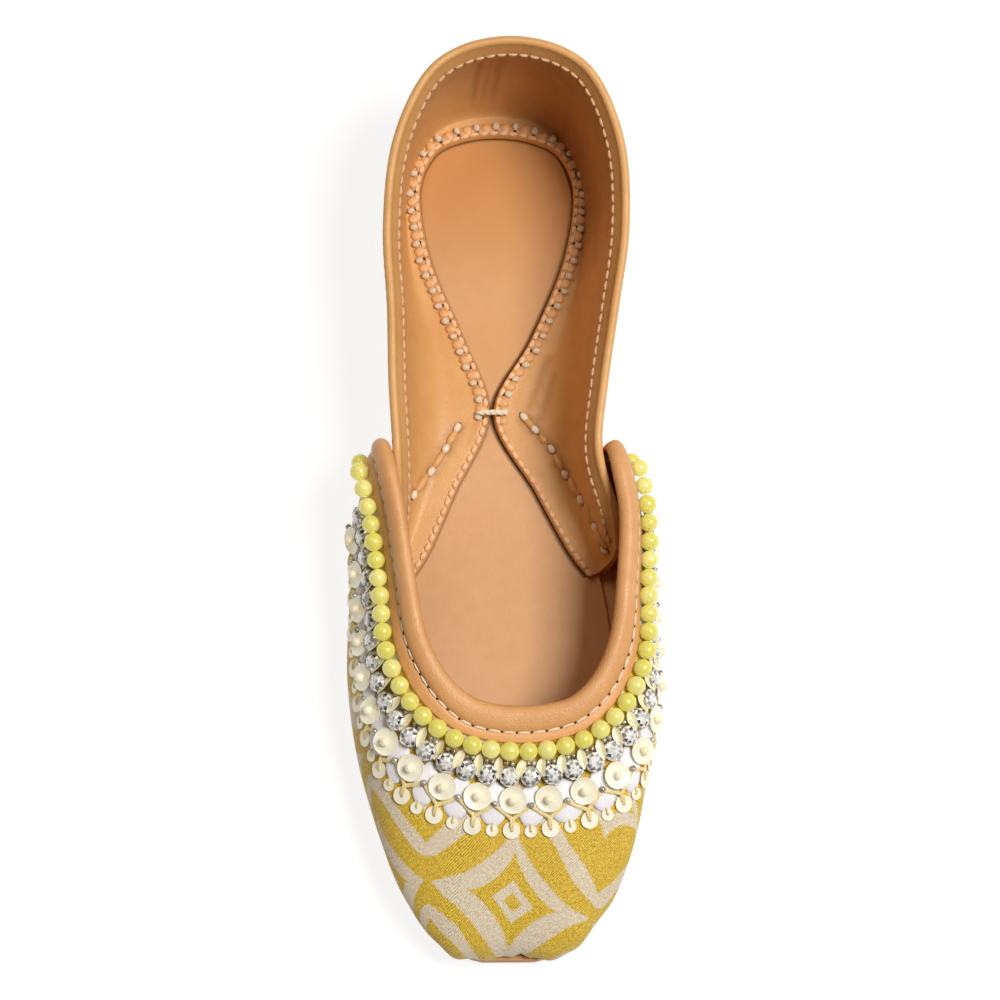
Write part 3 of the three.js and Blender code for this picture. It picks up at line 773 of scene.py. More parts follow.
thread = cotton("white_thread", (246, 232, 210), (226, 204, 176))
lace_thread = cotton("lace_thread", (228, 208, 182), (208, 182, 152))
pale_thread = cotton("machine_thread", (226, 190, 152), (208, 162, 116))
edge_thread = cotton("edge_thread", (244, 204, 162), (228, 176, 130))
rim_t = np.linspace(0.012, 0.988, 700)
rim_at, _, rim_out = quarter_wall.spot(rim_t, RIM_STITCH_DOWN)
rim_seam = rim_at - rim_out * (QUARTER_THICKNESS + rim_swell(rim_t, RIM_STITCH_DOWN))[:, None]
rim_row = sewn_row("rim_stitches", rim_seam, UP * 0.5 - rim_out, RIM_PITCH, 0, RIM_STITCH)
rim_back = sewn_row("rim_back_stitches", rim_at, rim_out, RIM_PITCH, 0, RIM_BACK_STITCH)

seam_t = np.linspace(0.003, 0.997, 2400)
seam_run = run_of(through(flange_edge, seam_t))
seam_run = seam_run - np.interp(0.5, seam_t, seam_run)
seam = Flange(seam_t)
seam_line = seam.on(seam.width - SEAM_INWARD, edge_height(SEAM_INWARD, laced_share(seam_t)))
edge_up = np.broadcast_to(UP, seam_line.shape)
edge_row = sewn_row("edge_stitches", seam_line, edge_up, SEAM_PITCH, 0.6, EDGE_STITCH)


def lacing(offset):
    """Places on the laced edge, a pitch apart, with their flange."""
    stops = (np.arange(-44, 45) + offset) * LACING_PITCH
    lace_t = np.interp(stops, seam_run, seam_t)
    lace_t = lace_t[laced_share(lace_t) > 0.5]
    return Flange(lace_t), edge_height(HOLE_INWARD, laced_share(lace_t))


lace, lace_height = lacing(0)
uneven = np.arange(len(lace.width))
lace_spots = lace.on(lace.width - HOLE_INWARD + 0.25 * np.sin(uneven * 1.7), lace_height + 0.1)
lace_up = np.broadcast_to(UP, lace_spots.shape)
lace_radius = 0.95 + 0.1 * np.sin(uneven * 2.3)[:, None]
lace_row = stitches("lacing_stitches", lace_spots, lace.across, lace_up, 2.1, lace_radius, 0.25, 0.85)
puff, puff_height = lacing(0.5)
puff_spots = puff.on(puff.width - HOLE_INWARD + 0.6, puff_height - 0.5)
puff_up = np.broadcast_to(UP, puff_spots.shape)
puffs = stitches("lacing_puffs", puff_spots, puff.across, puff_up, *LACING_PUFF)
hand_row = stitches("hand_stitches", hand_spots - hand_out * 0.3, hand_along, hand_out, *HAND_STITCH)
tunnel_length = np.linalg.norm(spans, axis=1)[: len(tunnel_spots), None, None] - TUNNEL_SHORT
tunnel_seats = tunnel_spots - tunnel_out * 0.45
tunnels = stitches(
    "hand_tunnels", tunnel_seats, tunnel_along, tunnel_out, tunnel_length, *TUNNEL_STITCH
)

# painted shade: dark discs for the needle holes beside each lacing stitch and at both ends of each hand
# stitch
hole_spots = np.vstack(
    [
        lace.on(lace.width - HOLE_INWARD + 1.15, lace_height + 0.15),
        hand_spots + hand_along * HOLE_APART - hand_out * 0.1,
        hand_spots - hand_along * HOLE_APART - hand_out * 0.1,
    ]
)
hole_up = np.vstack([lace_up, hand_out, hand_out])
hole_along = np.vstack([lace.across, hand_along, hand_along])
hand_holes = turned("hand_needle_holes", HOLE_PROFILE, hole_spots, hole_up, hole_along, 8, 1.2)
# painted shade: the dark brown of the needle holes
painted_hole_shade, shade, surface = new_finish("needle_hole", {"Specular IOR Level": 0.1})
hole_shade_noise = shade.noise(shade.node("TexCoord", out="Object"), 2500, 2)
lay(surface, base_color=hole_shade_noise.mix(dye(70, 40, 20), dye(110, 68, 36)), roughness=0.8 + (hole_shade_noise - 0.5) * 0.3)
for row, finish, slot in (
    (rim_row, pale_thread, "thread"),
    (rim_back, pale_thread, "thread"),
    (edge_row, edge_thread, "thread"),
    (lace_row, lace_thread, "thread"),
    (hand_row, thread, "thread"),
    # the puffs are a paler tan than the wall
    (puffs, leather("paler_puff_hide", (228, 176, 122), (218, 162, 106), 0.48, 0.25), "tan_leather"),
    (tunnels, tan, "tan_leather"),
    (hand_holes, painted_hole_shade, "tan_leather"),
):
    row.data.materials.append(finish)
    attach(row, "root")

# painted shadow: a thin dark strip lies on the insole beside the flange's cut edge, widest and darkest on
# the right, for the shade that the flange casts there
shadow_strip_width = 0.8 + 0.7 * ease(0.55, 0.75, t)
shadow_strip_depth = 0.4 + 0.15 * ease(0.3, 0.5, t) + 0.4 * ease(0.6, 0.8, t)
shadow_strip_share = np.array([-0.4, 0, 0.3, 0.6, 1])
shadow_strip_points = np.stack(
    [flange.on(flange.width + shadow_strip_width * part, SHADOW_STRIP_LEVEL) for part in shadow_strip_share], axis=1
)
shadow_strip_size = len(shadow_strip_share)
shadow_strip_first = np.arange(len(t) - 1)[:, None] * shadow_strip_size + np.arange(shadow_strip_size - 1)[None, :]
shadow_strip_next = shadow_strip_first + shadow_strip_size
shadow_strip_faces = np.stack([shadow_strip_first, shadow_strip_first + 1, shadow_strip_next + 1, shadow_strip_next], axis=-1)
shadow_strip = add_piece("painted_edge_shadow", shadow_strip_points, shadow_strip_faces.reshape(-1, 4).tolist())
store(shadow_strip, "tint_and_painted_light", shadow_strip_depth[:, None] * (1 - np.clip(shadow_strip_share, 0, 1)))
# painted shadow: the strip's darkness fades out across it, a little mottled
shadow_paint, shade, surface = new_finish("painted_shadow", {"Specular IOR Level": 0.2})
strength = shade.node("Attribute", {"attribute_name": "tint_and_painted_light"}, out="Fac")
shadow_mottle = shade.noise(shade.node("TexCoord", out="Object"), 500)
lay(
    surface,
    base_color=shadow_mottle.mix(dye(64, 36, 14), dye(92, 52, 24)),
    roughness=0.6 + (shadow_mottle - 0.5) * 0.3,
    alpha=strength * (0.75 + shadow_mottle * 0.5),
)
shadow_strip.data.materials.append(shadow_paint)
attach(shadow_strip, "root")


# Waist tie
# A bar of several strands of the same thread that draws the two flanges together over the
# waist of the insole. Each end goes down through the laced edge.
TIE_AT = 97.4
TIE_LENGTH = 8.2
TIE_X = -1.4
TIE_RADIUS = 0.75
STRANDS = 3
STRAND_RADIUS, STRAND_ORBIT = 0.42, 0.4
STRAND_TURNS = 1.6
tie_z = float(flange_top(TIE_AT)) + LACING_HEIGHT + GAP + TIE_RADIUS
tie_share = np.linspace(-0.5, 0.5, 41)
tie_strands = []
for k in range(STRANDS):
    angle = 2 * np.pi * (k / STRANDS + STRAND_TURNS * tie_share)
    close = 1 - 0.5 * np.abs(2 * tie_share) ** 6
    strand = place(TIE_AT, TIE_X + tie_share * TIE_LENGTH, tie_z - 0.9 * np.abs(2 * tie_share) ** 8)
    strand[:, 1] += STRAND_ORBIT * close * np.cos(angle)
    strand[:, 2] += STRAND_ORBIT * close * np.sin(angle)
    tie_strands.append(strand)
tie = tubes("waist_tie_strands", np.array(tie_strands), UP, STRAND_RADIUS, 8)
tie.data.materials.append(thread)
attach(tie, "root")
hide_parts("waist_tie")


# Vamp
# The front of the upper: a gold woven cloth printed with cream stars and wavy bands, pasted to
# a leather lining, pulled over the last and turned under the edge, with a pinch at the toe.
VAMP_THICKNESS = 2
INSTEP_HEIGHT = 36
EDGE_INSIDE_ROLL = 1.5
TURNED_UNDER = 6
PINCH_ASIDE = 3
PINCH_DEPTH, PUCKER_DEPTH = 1.5, 0.22
OVERHANG = np.array([0, -0.9, -1.1])
VAMP_RINGS = 301
OUTER_STEPS, INNER_STEPS = 120, 26
# foot at, foot half, throat at, throat half, throat height, swell, rise, reach, drop, lean
VAMP_SECTIONS = np.array(
    [
        (0.992, 0, 0.752, 0, 0.99, 5, 9, 42, 13, 4.4),
        (0.99, 0.345, 0.749, 0.2, 0.995, 8.5, 9, 41, 13, 4.4),
        (0.956, 0.485, 0.738, 0.385, 1.01, 12.6, 9, 38, 12.5, 4.3),
        (0.885, 0.66, 0.71, 0.562, 1.04, 12.2, 10, 26, 12.5, 4),
        (0.797, 0.868, 0.666, 0.69, 1.085, 10, 11, 15, 13, 3.7),
        (0.708, 0.97, 0.608, 0.753, 1.135, 7.6, 12, 8, 15, 3.4),
        (0.635, 0.955, 0.537, 0.797, 1.17, 7, 13, 7, 15, 2.6),
        (0.587, 0.912, 0.487, 0.805, 1.18, 7, 14, 8, 15, 0.5),
        (0.55, 0.865, 0.459, 0.81, 1.1, 6, 12, 6, 12, -0.9),
        (0.515, 0.82, 0.449, 0.803, 0.9, 4, 8, 3, 9, -1),
        (0.486, 0.785, 0.445, 0.797, 0.62, 2, 5, 1, 5, -0.9),
        (0.464, 0.765, 0.443, 0.785, 0.34, 0.5, 2, 0.3, 2, -0.9),
    ]
)
vamp_wall = Wall(VAMP_SECTIONS, INSTEP_HEIGHT, 1)
vamp_t = np.linspace(0, 1, VAMP_RINGS)
vamp_top = vamp_wall.share_down(vamp_t, EDGE_INSIDE_ROLL)
outer_v = vamp_top[:, None] * np.linspace(0, 1, OUTER_STEPS)
inner_v = vamp_top[:, None] * np.linspace(1, 0, INNER_STEPS)
outer_t = np.repeat(vamp_t[:, None], OUTER_STEPS, axis=1)
inner_t = np.repeat(vamp_t[:, None], INNER_STEPS, axis=1)
cloth = vamp_wall.point(outer_t, outer_v)
cloth_normal = vamp_wall.normal(outer_t, outer_v)
lining_normal = vamp_wall.normal(inner_t, inner_v)
lining_normal[:, -1] = unit(lining_normal[:, -1] * (1, 1, 0))
lining = vamp_wall.point(inner_t, inner_v) - lining_normal * VAMP_THICKNESS

# the cloth laid flat: round the toe out from the throat line by the distance down the vamp, and
# along the sides straight out, with each point at its own place along the shoe
throat = through(vamp_wall.top, vamp_t)
throat_out = vamp_wall.outward(vamp_wall.top, vamp_t)
cloth_down = below_top(cloth) + EDGE_INSIDE_ROLL
cloth_flat = throat[:, None, :2] + throat_out[:, None, :2] * cloth_down[..., None]
along_side = ease(-75, -35, cloth[..., 1])
for side in (-1, 1):
    rows = throat[:, 0] * side > 0
    edge_z = cloth[rows, -1, 2]
    highest = np.argmax(edge_z)
    step = np.arange(len(edge_z)) - highest
    behind = step * (1 if rows[-1] else -1) > 0
    reach = abs(throat[rows, 0]) + behind * (edge_z.max() - edge_z)
    reach = reach[:, None] + below_top(cloth[rows][..., [0, 2]])
    laid = np.stack([side * reach, cloth[rows][..., 1]], axis=-1)
    share = along_side[rows]
    middle = (share > 0.3) & (share < 0.7)
    laid = laid + (cloth_flat[rows][middle] - laid[middle]).mean(axis=0)
    cloth_flat[rows] += (laid - cloth_flat[rows]) * share[..., None]

# the pinch at the toe, a little to the right of its middle, the small puckers of the lasted edge
# beside it, and the cloth that hangs over the sole's edge
toe_across = cloth[..., 0] - cloth[VAMP_RINGS // 2, 0, 0] - PINCH_ASIDE
toe_low = 1 - ease(0, 15, cloth[..., 2] - 8)
toe_front = ease(88, 112, -cloth[..., 1])
pinch = PINCH_DEPTH * bell(toe_across, 0, 1.6) * (1 - ease(0, 9, cloth[..., 2] - 8))
pucker = PUCKER_DEPTH * np.cos(toe_across * 2 * np.pi / 8.5 + 0.4) * toe_low
cloth = cloth - cloth_normal * ((pinch - pucker) * toe_front)[..., None]
overhang = (1 - ease(0, 6, cloth[..., 2] - cloth[:, :1, 2])) * ease(112, 121, -cloth[..., 1])
overhang = overhang * (1 + 0.25 * np.cos(toe_across * 2 * np.pi / 9)) * (1 - 0.5 * bell(toe_across, 0, 1.5))
cloth = cloth + overhang[..., None] * OVERHANG

# the edge turned under, thin and flat on the outsole
turned_in = lining[:, -1] - lining_normal[:, -1] * TURNED_UNDER
turned_in[:, 2] = outsole_top(LENGTH / 2 - turned_in[:, 1]) + 0.2
vamp_rings = np.concatenate([cloth, lining, turned_in[:, None], turned_in[:, None] - UP * 0.1], axis=1)
vamp_size = vamp_rings.shape[1]
vamp = add_piece("vamp_cloth", vamp_rings, loft_faces(len(vamp_t), vamp_size), 50)
flat_map = np.zeros((len(vamp_t) * vamp_size, 2))
flat_map.reshape(len(vamp_t), vamp_size, 2)[:, :OUTER_STEPS] = cloth_flat
cloth_layer = vamp.data.uv_layers.new(name="cloth")
corners = np.zeros(len(vamp.data.loops), int)
vamp.data.loops.foreach_get("vertex_index", corners)
cloth_layer.data.foreach_set("uv", flat_map[corners].ravel())

# the print: its stars, its bands, how the right side leans, and its place on the cloth
STAR_WIDE, STAR_HIGH = 22.4, 23.4
COLUMN, ROW = 23.6, 44
BAND_SWING, BAND_WAVE = 12.5, 1.5
RIGHT_LEAN, RIGHT_SHRINK = 3.0, 0.45
PRINT_WIDE, PRINT_LONG, PRINT_SLANT = 0.8435, 1.1319, 0.28
PRINT_CENTRE = (2.2, -113.2)
PRINT_RAGGED = 1.3
TWILL_PITCH = 0.85
GOLD, GOLD_DEEP, GOLD_PAINTED_GLINT = dye(232, 200, 68), dye(178, 134, 18), dye(252, 232, 136)
CREAM, CREAM_DEEP = dye(236, 222, 196), dye(194, 174, 144)

print_cloth, shade, surface = new_finish("print_cloth", {"Specular IOR Level": 0.35, "Sheen Weight": 0.15})
flat_place = shade.node("UVMap", {"uv_map": "cloth"})
u = shade.node("SeparateXYZ", {}, {"Vector": flat_place}, "X")
v = shade.node("SeparateXYZ", {}, {"Vector": flat_place}, "Y")
where = shade.node("TexCoord", out="Object")
ragged = (shade.noise(where, 1900, 4) - 0.5) * PRINT_RAGGED
from_u, from_v = u - PRINT_CENTRE[0], v - PRINT_CENTRE[1]
across = from_u * PRINT_WIDE + ragged
along = from_u * PRINT_SLANT + from_v * PRINT_LONG + ragged
column = shade.math("PINGPONG", across, COLUMN)
row = shade.math("PINGPONG", along, ROW)
other = shade.math("GREATER_THAN", column / COLUMN + row / ROW, 1)
right = across.ease(2, 22)
star_x = column + other * (COLUMN - 2 * column)
leaning = along - RIGHT_LEAN * right
star_row = shade.math("PINGPONG", leaning, ROW)
star_y = star_row + other * ((ROW - row) * (1 + RIGHT_SHRINK * right) - star_row)


def star(wide, high, bend):
    """1 inside a four-pointed star with hollow sides, and 0 outside."""
    reach = (star_x / (STAR_WIDE * wide)) ** bend + (star_y / (STAR_HIGH * high)) ** bend
    return 1 - reach.ease(0.975, 1.025)


band_share = column / COLUMN
band_wave = shade.math("SINE", band_share * (2 * math.pi))
band_line = ROW / 2 + BAND_SWING * (1 - 2 * band_share) + BAND_WAVE * band_wave
band_half = 3.8 - 1.8 * abs(2 * band_share - 1) ** 4
band = 1 - (abs(row - band_line) - band_half).ease(-0.25, 0.25)
full = 0.92 - 0.17 * leaning.ease(-1, 1) - 0.06 * across.ease(-1, 1)
motif = star(1, 1, full) - star(0.58, 0.68, 0.7) + star(0.26, 0.29, 0.95) - star(0.11, 0.125, 1)
cream_mask = shade.math("MAXIMUM", motif, band)

twill = shade.math("SINE", (u - v) * (2 * math.pi / TWILL_PITCH))
yarn = shade.noise(where, 2300, 3)
painted_glint_and_bump = shade.noise(where, 4200, 2)
stretch = shade.node(
    "Mapping",
    {"vector_type": "TEXTURE"},
    {"Vector": flat_place, "Rotation": (0, 0, math.pi / 4), "Scale": (0.7, 0.38, 1)},
)
slub = shade.noise(stretch, 1, 3)
# the yarns vary in colour, and painted sheen lightens some of them
yarn_tone_and_painted_sheen = (twill * 0.09 + slub * 0.7 + yarn * 0.6).ease(0.5, 0.8)
gold = yarn_tone_and_painted_sheen.mix(GOLD_DEEP, GOLD)
# painted glints: bright flecks painted on the brightest grains
gold = (painted_glint_and_bump * 0.8 + yarn * 0.2 + twill * 0.04).ease(0.58, 0.7).mix(gold, GOLD_PAINTED_GLINT)
cream = yarn_tone_and_painted_sheen.mix(CREAM_DEEP, CREAM)
lay(
    surface,
    base_color=cream_mask.mix(gold, cream),
    roughness=0.62 + (yarn - 0.5) * 0.3,
    normal=shade.bump(twill * 0.2 + yarn * 0.5 + painted_glint_and_bump * 0.4 + slub * 0.7, 0.5, 0.00024),
)
vamp.data.materials.append(print_cloth)
vamp.data.materials.append(leather("lining_hide", (208, 154, 100), (198, 142, 88), 0.55, 0.2))
is_lining = np.zeros(len(vamp.data.polygons), int)
column_of = np.arange((len(vamp_t) - 1) * vamp_size) % vamp_size
is_lining[: len(column_of)] = (column_of >= OUTER_STEPS - 1) & (column_of < vamp_size - 1)
vamp.data.polygons.foreach_set("material_index", is_lining)
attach(vamp, "root")
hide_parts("vamp")


# Vamp binding
# A strip of tan leather rolled over a cord along the throat and stitched down through the
# cloth. At each end of every stitch is a needle hole, a dark disc of painted shade.
BINDING_STITCH_DOWN = 4.35
BINDING_PITCH = 4.0
BINDING_WIDTH = 7.2
BINDING_OFFSET = 1.2
SEAM_LEFT, ROLL_RIGHT = 1.3, 0.3
# length, radius and rise
BINDING_STITCH = 3.3, 0.3, 0.16
BINDING_INNER_STITCH = 3.1, 0.36, 0.16
# down the vamp, out from it: the strip, the seam, the roll outside, and the roll inside
BINDING_PROFILE = (
    [(7.2, 0.3), (7.26, 0.6), (7.16, 0.9), (6.9, 1.1), (6.5, 1.2), (5.7, 1.26), (5.0, 1.16)]
    + [(4.6, 0.92), (4.35, 0.82), (4.1, 0.98)]
    + [(3.7, 1.36), (3.0, 1.66), (2.2, 1.82), (1.3, 1.88), (0.4, 1.84), (-0.4, 1.72), (-1.3, 1.42)]
    + [(-2.0, 0.95), (-2.5, 0.3), (-2.7, -0.6), (-2.55, -1.4), (-2.0, -2.1), (-1.2, -2.6)]
    + [(-0.3, -2.8), (0.6, -2.6), (1.2, -2.0), (1.2, 0.3), (4.2, 0.3)]
)


def over_vamp(t, down, out):
    """A point over the vamp; above the throat line it goes on straight."""
    t, down, out = np.broadcast_arrays(np.asarray(t, float), down, out)
    point, way, normal = vamp_wall.spot(t, np.maximum(0, down))
    return point + way * np.minimum(0, down)[..., None] + normal * out[..., None]


binding_t = np.linspace(0, 1, 331)
binding_down, binding_out = np.array(BINDING_PROFILE).T


def stitch_down(t):
    """How far the stitching is from the throat line: less on the left."""
    return BINDING_STITCH_DOWN - SEAM_LEFT * ease(8, 26, -vamp_wall.spot(t, 4)[0][:, 0])


seam_share = (stitch_down(binding_t) / BINDING_STITCH_DOWN)[:, None]
strip_share = (BINDING_WIDTH - stitch_down(binding_t))[:, None] / (BINDING_WIDTH - BINDING_STITCH_DOWN)
roll_share = (1 - ROLL_RIGHT * ease(8, 26, vamp_wall.spot(binding_t, 4)[0][:, 0]))[:, None]
binding_down = np.where(
    binding_down > BINDING_STITCH_DOWN,
    BINDING_WIDTH - (BINDING_WIDTH - binding_down) * strip_share,
    np.where(binding_down > 0, binding_down * seam_share, binding_down * roll_share),
)
binding_rings = over_vamp(binding_t[:, None], binding_down, binding_out[None, :])
binding = add_piece("binding_roll", binding_rings, loft_faces(*binding_rings.shape[:2]), 50)
binding.data.materials.append(leather("binding_hide", (222, 165, 108), (213, 153, 96), 0.42, 0.26))
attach(binding, "root")
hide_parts("vamp_binding")

seam_t = np.linspace(0.004, 0.996, 1200)
seam_at, _, seam_out = vamp_wall.spot(seam_t, stitch_down(seam_t))
seam_line = seam_at + seam_out * 0.95
outer_row = sewn_row(
    "binding_stitches", seam_line, seam_out, BINDING_PITCH, BINDING_OFFSET, BINDING_STITCH
)
inside_line = seam_at - seam_out * (VAMP_THICKNESS + 0.05)
inner_row = sewn_row(
    "binding_inner_stitches", inside_line, -seam_out, BINDING_PITCH, BINDING_OFFSET, BINDING_INNER_STITCH
)
for row in (outer_row, inner_row):
    row.data.materials.append(thread)
    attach(row, "root")

# painted shade: dark discs for the needle holes between the binding's stitches
hole_spots, hole_along = every(
    np.hstack([seam_line, seam_out]), BINDING_PITCH, BINDING_OFFSET + BINDING_PITCH / 2
)
hole_up = unit(hole_spots[:, 3:])
holes = turned("needle_holes", HOLE_PROFILE, hole_spots[:, :3], hole_up, hole_along, 8)
holes.data.materials.append(painted_hole_shade)
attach(holes, "root")


# Bead string
# Round beads of cloudy yellow-green stone glass, threaded and couched down in one row against
# the binding. No two are the same: each has its own tint, and a few are paler.
BEAD_COUNT = 42
BEAD_RADIUS = 2.4
BEAD_SEEN = 2.5
BEAD_DOWN = 9.2
BEAD_EARS = (0.105, 0.105)
BEAD_SIDES = 24
chance = np.random.default_rng(11)


def bead_profile(radius, hole, steps, squash=1):
    """Radius and height over the outside of a bead, short of its hole at both ends."""
    turn = np.linspace(hole, np.pi - hole, steps)
    return [(radius * math.sin(a), -squash * radius * math.cos(a)) for a in turn]


bead_steps = vamp_wall.even(BEAD_DOWN, 2 * BEAD_COUNT + 1, BEAD_EARS)[1::2]
bead_at, bead_down, bead_out = vamp_wall.spot(bead_steps, BEAD_DOWN)
bead_along = np.cross(bead_down, bead_out)
bead_centres = bead_at + bead_out * (BEAD_RADIUS + GAP)
bead_shape = bead_profile(BEAD_SEEN, 0.2, 15)
bead_sizes = 1 + chance.uniform(-0.03, 0.035, BEAD_COUNT)
beads = turned("jade_beads", bead_shape, bead_centres, bead_along, bead_out, BEAD_SIDES, bead_sizes)
store(beads, "tint_and_painted_light", np.repeat(chance.uniform(0, 1, BEAD_COUNT), BEAD_SIDES * len(bead_shape)))
stone, shade, surface = new_finish(
    "cloudy_bead",
    {
        "Subsurface Weight": 0.9,
        "Subsurface Radius": (1.0, 0.95, 0.5),
        "Subsurface Scale": 0.003,
        "Coat Weight": 0.3,
        "Coat Roughness": 0.2,
        # painted light: the beads give off a faint light of their own, standing in for light let through the
        # glass, which lifts their shaded sides
        "Emission Color": dye(226, 215, 122),
        "Emission Strength": 0.31,
    },
)
where = shade.node("TexCoord", out="Object")
tint_and_painted_light = shade.node("Attribute", {"attribute_name": "tint_and_painted_light"}, out="Fac")
cloudy = shade.noise(where, 330, 3)
bead_tint = (tint_and_painted_light * 0.75 + (cloudy - 0.5) * 0.7).ease(0, 0.9)
lay(
    surface,
    base_color=bead_tint.mix(dye(191, 184, 82), dye(203, 197, 130)),
    roughness=0.24 + (cloudy - 0.5) * 0.15,
)
beads.data.materials.append(stone)
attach(beads, "root")
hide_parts("bead_string")


# Ground of the embroidery
# Petals of pale satin, padded a little and sewn to the cloth side by side, so that one shows
# in every space between two large sequins.
SEQUIN_COUNT = 21
SEQUIN_DOWN = 22.4
SEQUIN_EARS = (0.181, 0.195)
PETAL_MIDDLE = 23.9
PETAL_LONG, PETAL_WIDE = 5.9, 3.6
PETAL_HEIGHT = 1.0
SATIN_DEEP, SATIN_PALE = dye(230, 225, 228), dye(250, 248, 249)
# share of the petal's size, share of its height
PETAL_RINGS = [(1, 0.05), (1.02, 0.3), (0.96, 0.62), (0.82, 0.82), (0.6, 0.94), (0.36, 1), (0.14, 1)]
sequin_ladder = vamp_wall.even(SEQUIN_DOWN, 2 * SEQUIN_COUNT + 1, SEQUIN_EARS)
junctions = sequin_ladder[0::2]
sequin_steps = sequin_ladder[1::2]


def pace(t, down):
    """How far a line a distance down the vamp runs for each unit of t."""
    ahead, behind = vamp_wall.spot(t + 2e-3, down)[0], vamp_wall.spot(t - 2e-3, down)[0]
    return np.linalg.norm(ahead - behind, axis=-1) / 4e-3


def beside(t, down, along_by, down_by, out):
    """A point over the vamp, moved along and down from a place on it."""
    t, down, along_by, down_by, out = np.broadcast_arrays(t, down, along_by, down_by, out)
    moved = np.clip(t + along_by / pace(t, down), 0.002, 0.998)
    return over_vamp(moved, down + down_by, out)


petal_turn = np.linspace(0, 2 * np.pi, 28, endpoint=False)
petal_round, petal_high = np.array(PETAL_RINGS).T[..., None]
petal_high = petal_high * PETAL_HEIGHT
petal_along = petal_round * np.sin(petal_turn) * PETAL_WIDE * (1 + 0.12 * np.cos(petal_turn))
petal_down = petal_round * np.cos(petal_turn) * PETAL_LONG
petal_points = beside(
    junctions[:, None, None], PETAL_MIDDLE, petal_along[None], petal_down[None], petal_high + 0 * petal_along
)
petal_faces = repeated(loft_faces(*petal_along.shape), petal_along.size, len(junctions))
petals = add_piece("satin_petals", petal_points, petal_faces, 60)
satin, shade, surface = new_finish("pale_satin", {"Sheen Weight": 0.3, "Anisotropic": 0.4})
where = shade.node("TexCoord", out="Object")
float_yarn = shade.node(
    "TexWave", {"bands_direction": "X"}, {"Vector": where, "Scale": 900, "Distortion": 1.2}
)
cloud = shade.noise(where, 300)
lay(
    surface,
    base_color=(cloud * 0.6 + float_yarn * 0.4).ease(0.3, 0.75).mix(SATIN_DEEP, SATIN_PALE),
    roughness=0.5 + (cloud - 0.5) * 0.2,
    normal=shade.bump(float_yarn, 0.2, 0.0001),
)
petals.data.materials.append(satin)
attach(petals, "root")
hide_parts("embroidery_band")


# Crystal row
# Clear cut-glass stones with foiled backs, each held in a silver cup and sewn through it.
# The white and dark flashes of the cut facets are painted reflections in their colour.
CRYSTAL_COUNT = 34
CRYSTAL_RADIUS = 2.65
CRYSTAL_DOWN = 16.1
CRYSTAL_EARS = (0.184, 0.183)
CRYSTAL_SEAT = 1.6
PAINTED_FACET_DARK, PAINTED_FACET_BRIGHT = dye(62, 56, 48), dye(250, 249, 244)
SILVER_DULL, SILVER_BRIGHT = dye(150, 138, 118), dye(222, 216, 204)
# painted reflection of each facet, 0 dark to 1 bright: six facets of each eighth of the crown, then the side
# and the back
CROWN_PAINTED_FLASH, BACK_PAINTED_FLASH = [0.8, 0.98, 0.42, 0.95, 0.3, 0.8], [0.8, 0.5]
# radius, height
CUP_PROFILE = [(1.4, -1.0), (2.5, -1.0), (2.78, -0.5), (2.82, 0.5), (2.74, 0.74), (2.66, 0.66)]
CUP_PROFILE += [(2.6, 0.0), (1.4, -0.3)]
crystal_ladder = vamp_wall.even(CRYSTAL_DOWN, 2 * CRYSTAL_COUNT + 1, CRYSTAL_EARS)
crystal_steps = crystal_ladder[1::2]
crystal_at, crystal_down, crystal_out = vamp_wall.spot(crystal_steps, CRYSTAL_DOWN)
tilt = chance.normal(0, 0.09, (CRYSTAL_COUNT, 2))
crystal_along = np.cross(crystal_down, crystal_out)
crystal_axis = unit(crystal_out + crystal_along * tilt[:, :1] + crystal_down * tilt[:, 1:])
crystal_across = unit(np.cross(crystal_axis, crystal_down))
crystal_third = np.cross(crystal_axis, crystal_across)


def polar(count, radius, height, phase):
    angle = 2 * np.pi * (np.arange(count) + phase) / count
    return np.stack([radius * np.cos(angle), radius * np.sin(angle), np.full(count, height)], axis=1)


cut = np.vstack(
    [
        [(0, 0, 1.62)],
        polar(8, 0.42, 1.62, 0),
        polar(8, 0.72, 1.24, 0.5),
        polar(16, 1.0, 0.6, 0.5),
        polar(16, 0.98, 0.1, 0.5),
        [(0, 0, 0.1)],
    ]
) * (CRYSTAL_RADIUS, CRYSTAL_RADIUS, 1)
cut_faces = []
for i in range(8):
    j = (i + 1) % 8
    cut_faces.append([0, 1 + i, 1 + j])
    cut_faces.append([1 + i, 9 + i, 1 + j])
    cut_faces.append([1 + j, 9 + i, 9 + j])
    cut_faces.append([9 + i, 17 + (2 * i) % 16, 17 + (2 * i + 1) % 16])
    cut_faces.append([9 + i, 17 + (2 * i + 1) % 16, 9 + j])
    cut_faces.append([9 + j, 17 + (2 * i + 1) % 16, 17 + (2 * i + 2) % 16])
for i in range(16):
    j = (i + 1) % 16
    cut_faces.append([17 + i, 33 + i, 33 + j, 17 + j])
    cut_faces.append([33 + i, 49, 33 + j])
spin = chance.uniform(0, 2 * np.pi, CRYSTAL_COUNT)
turned_across = crystal_across * np.cos(spin)[:, None] + crystal_third * np.sin(spin)[:, None]
turned_third = np.cross(crystal_axis, turned_across)
crystal_seats = crystal_at + crystal_out * CRYSTAL_SEAT
crystal_points = (
    crystal_seats[:, None]
    + turned_across[:, None] * cut[None, :, :1]
    + turned_third[:, None] * cut[None, :, 1:2]
    + crystal_axis[:, None] * cut[None, :, 2:]
)
crystals = add_piece("cut_crystals", crystal_points, repeated(cut_faces, len(cut), CRYSTAL_COUNT), 5)
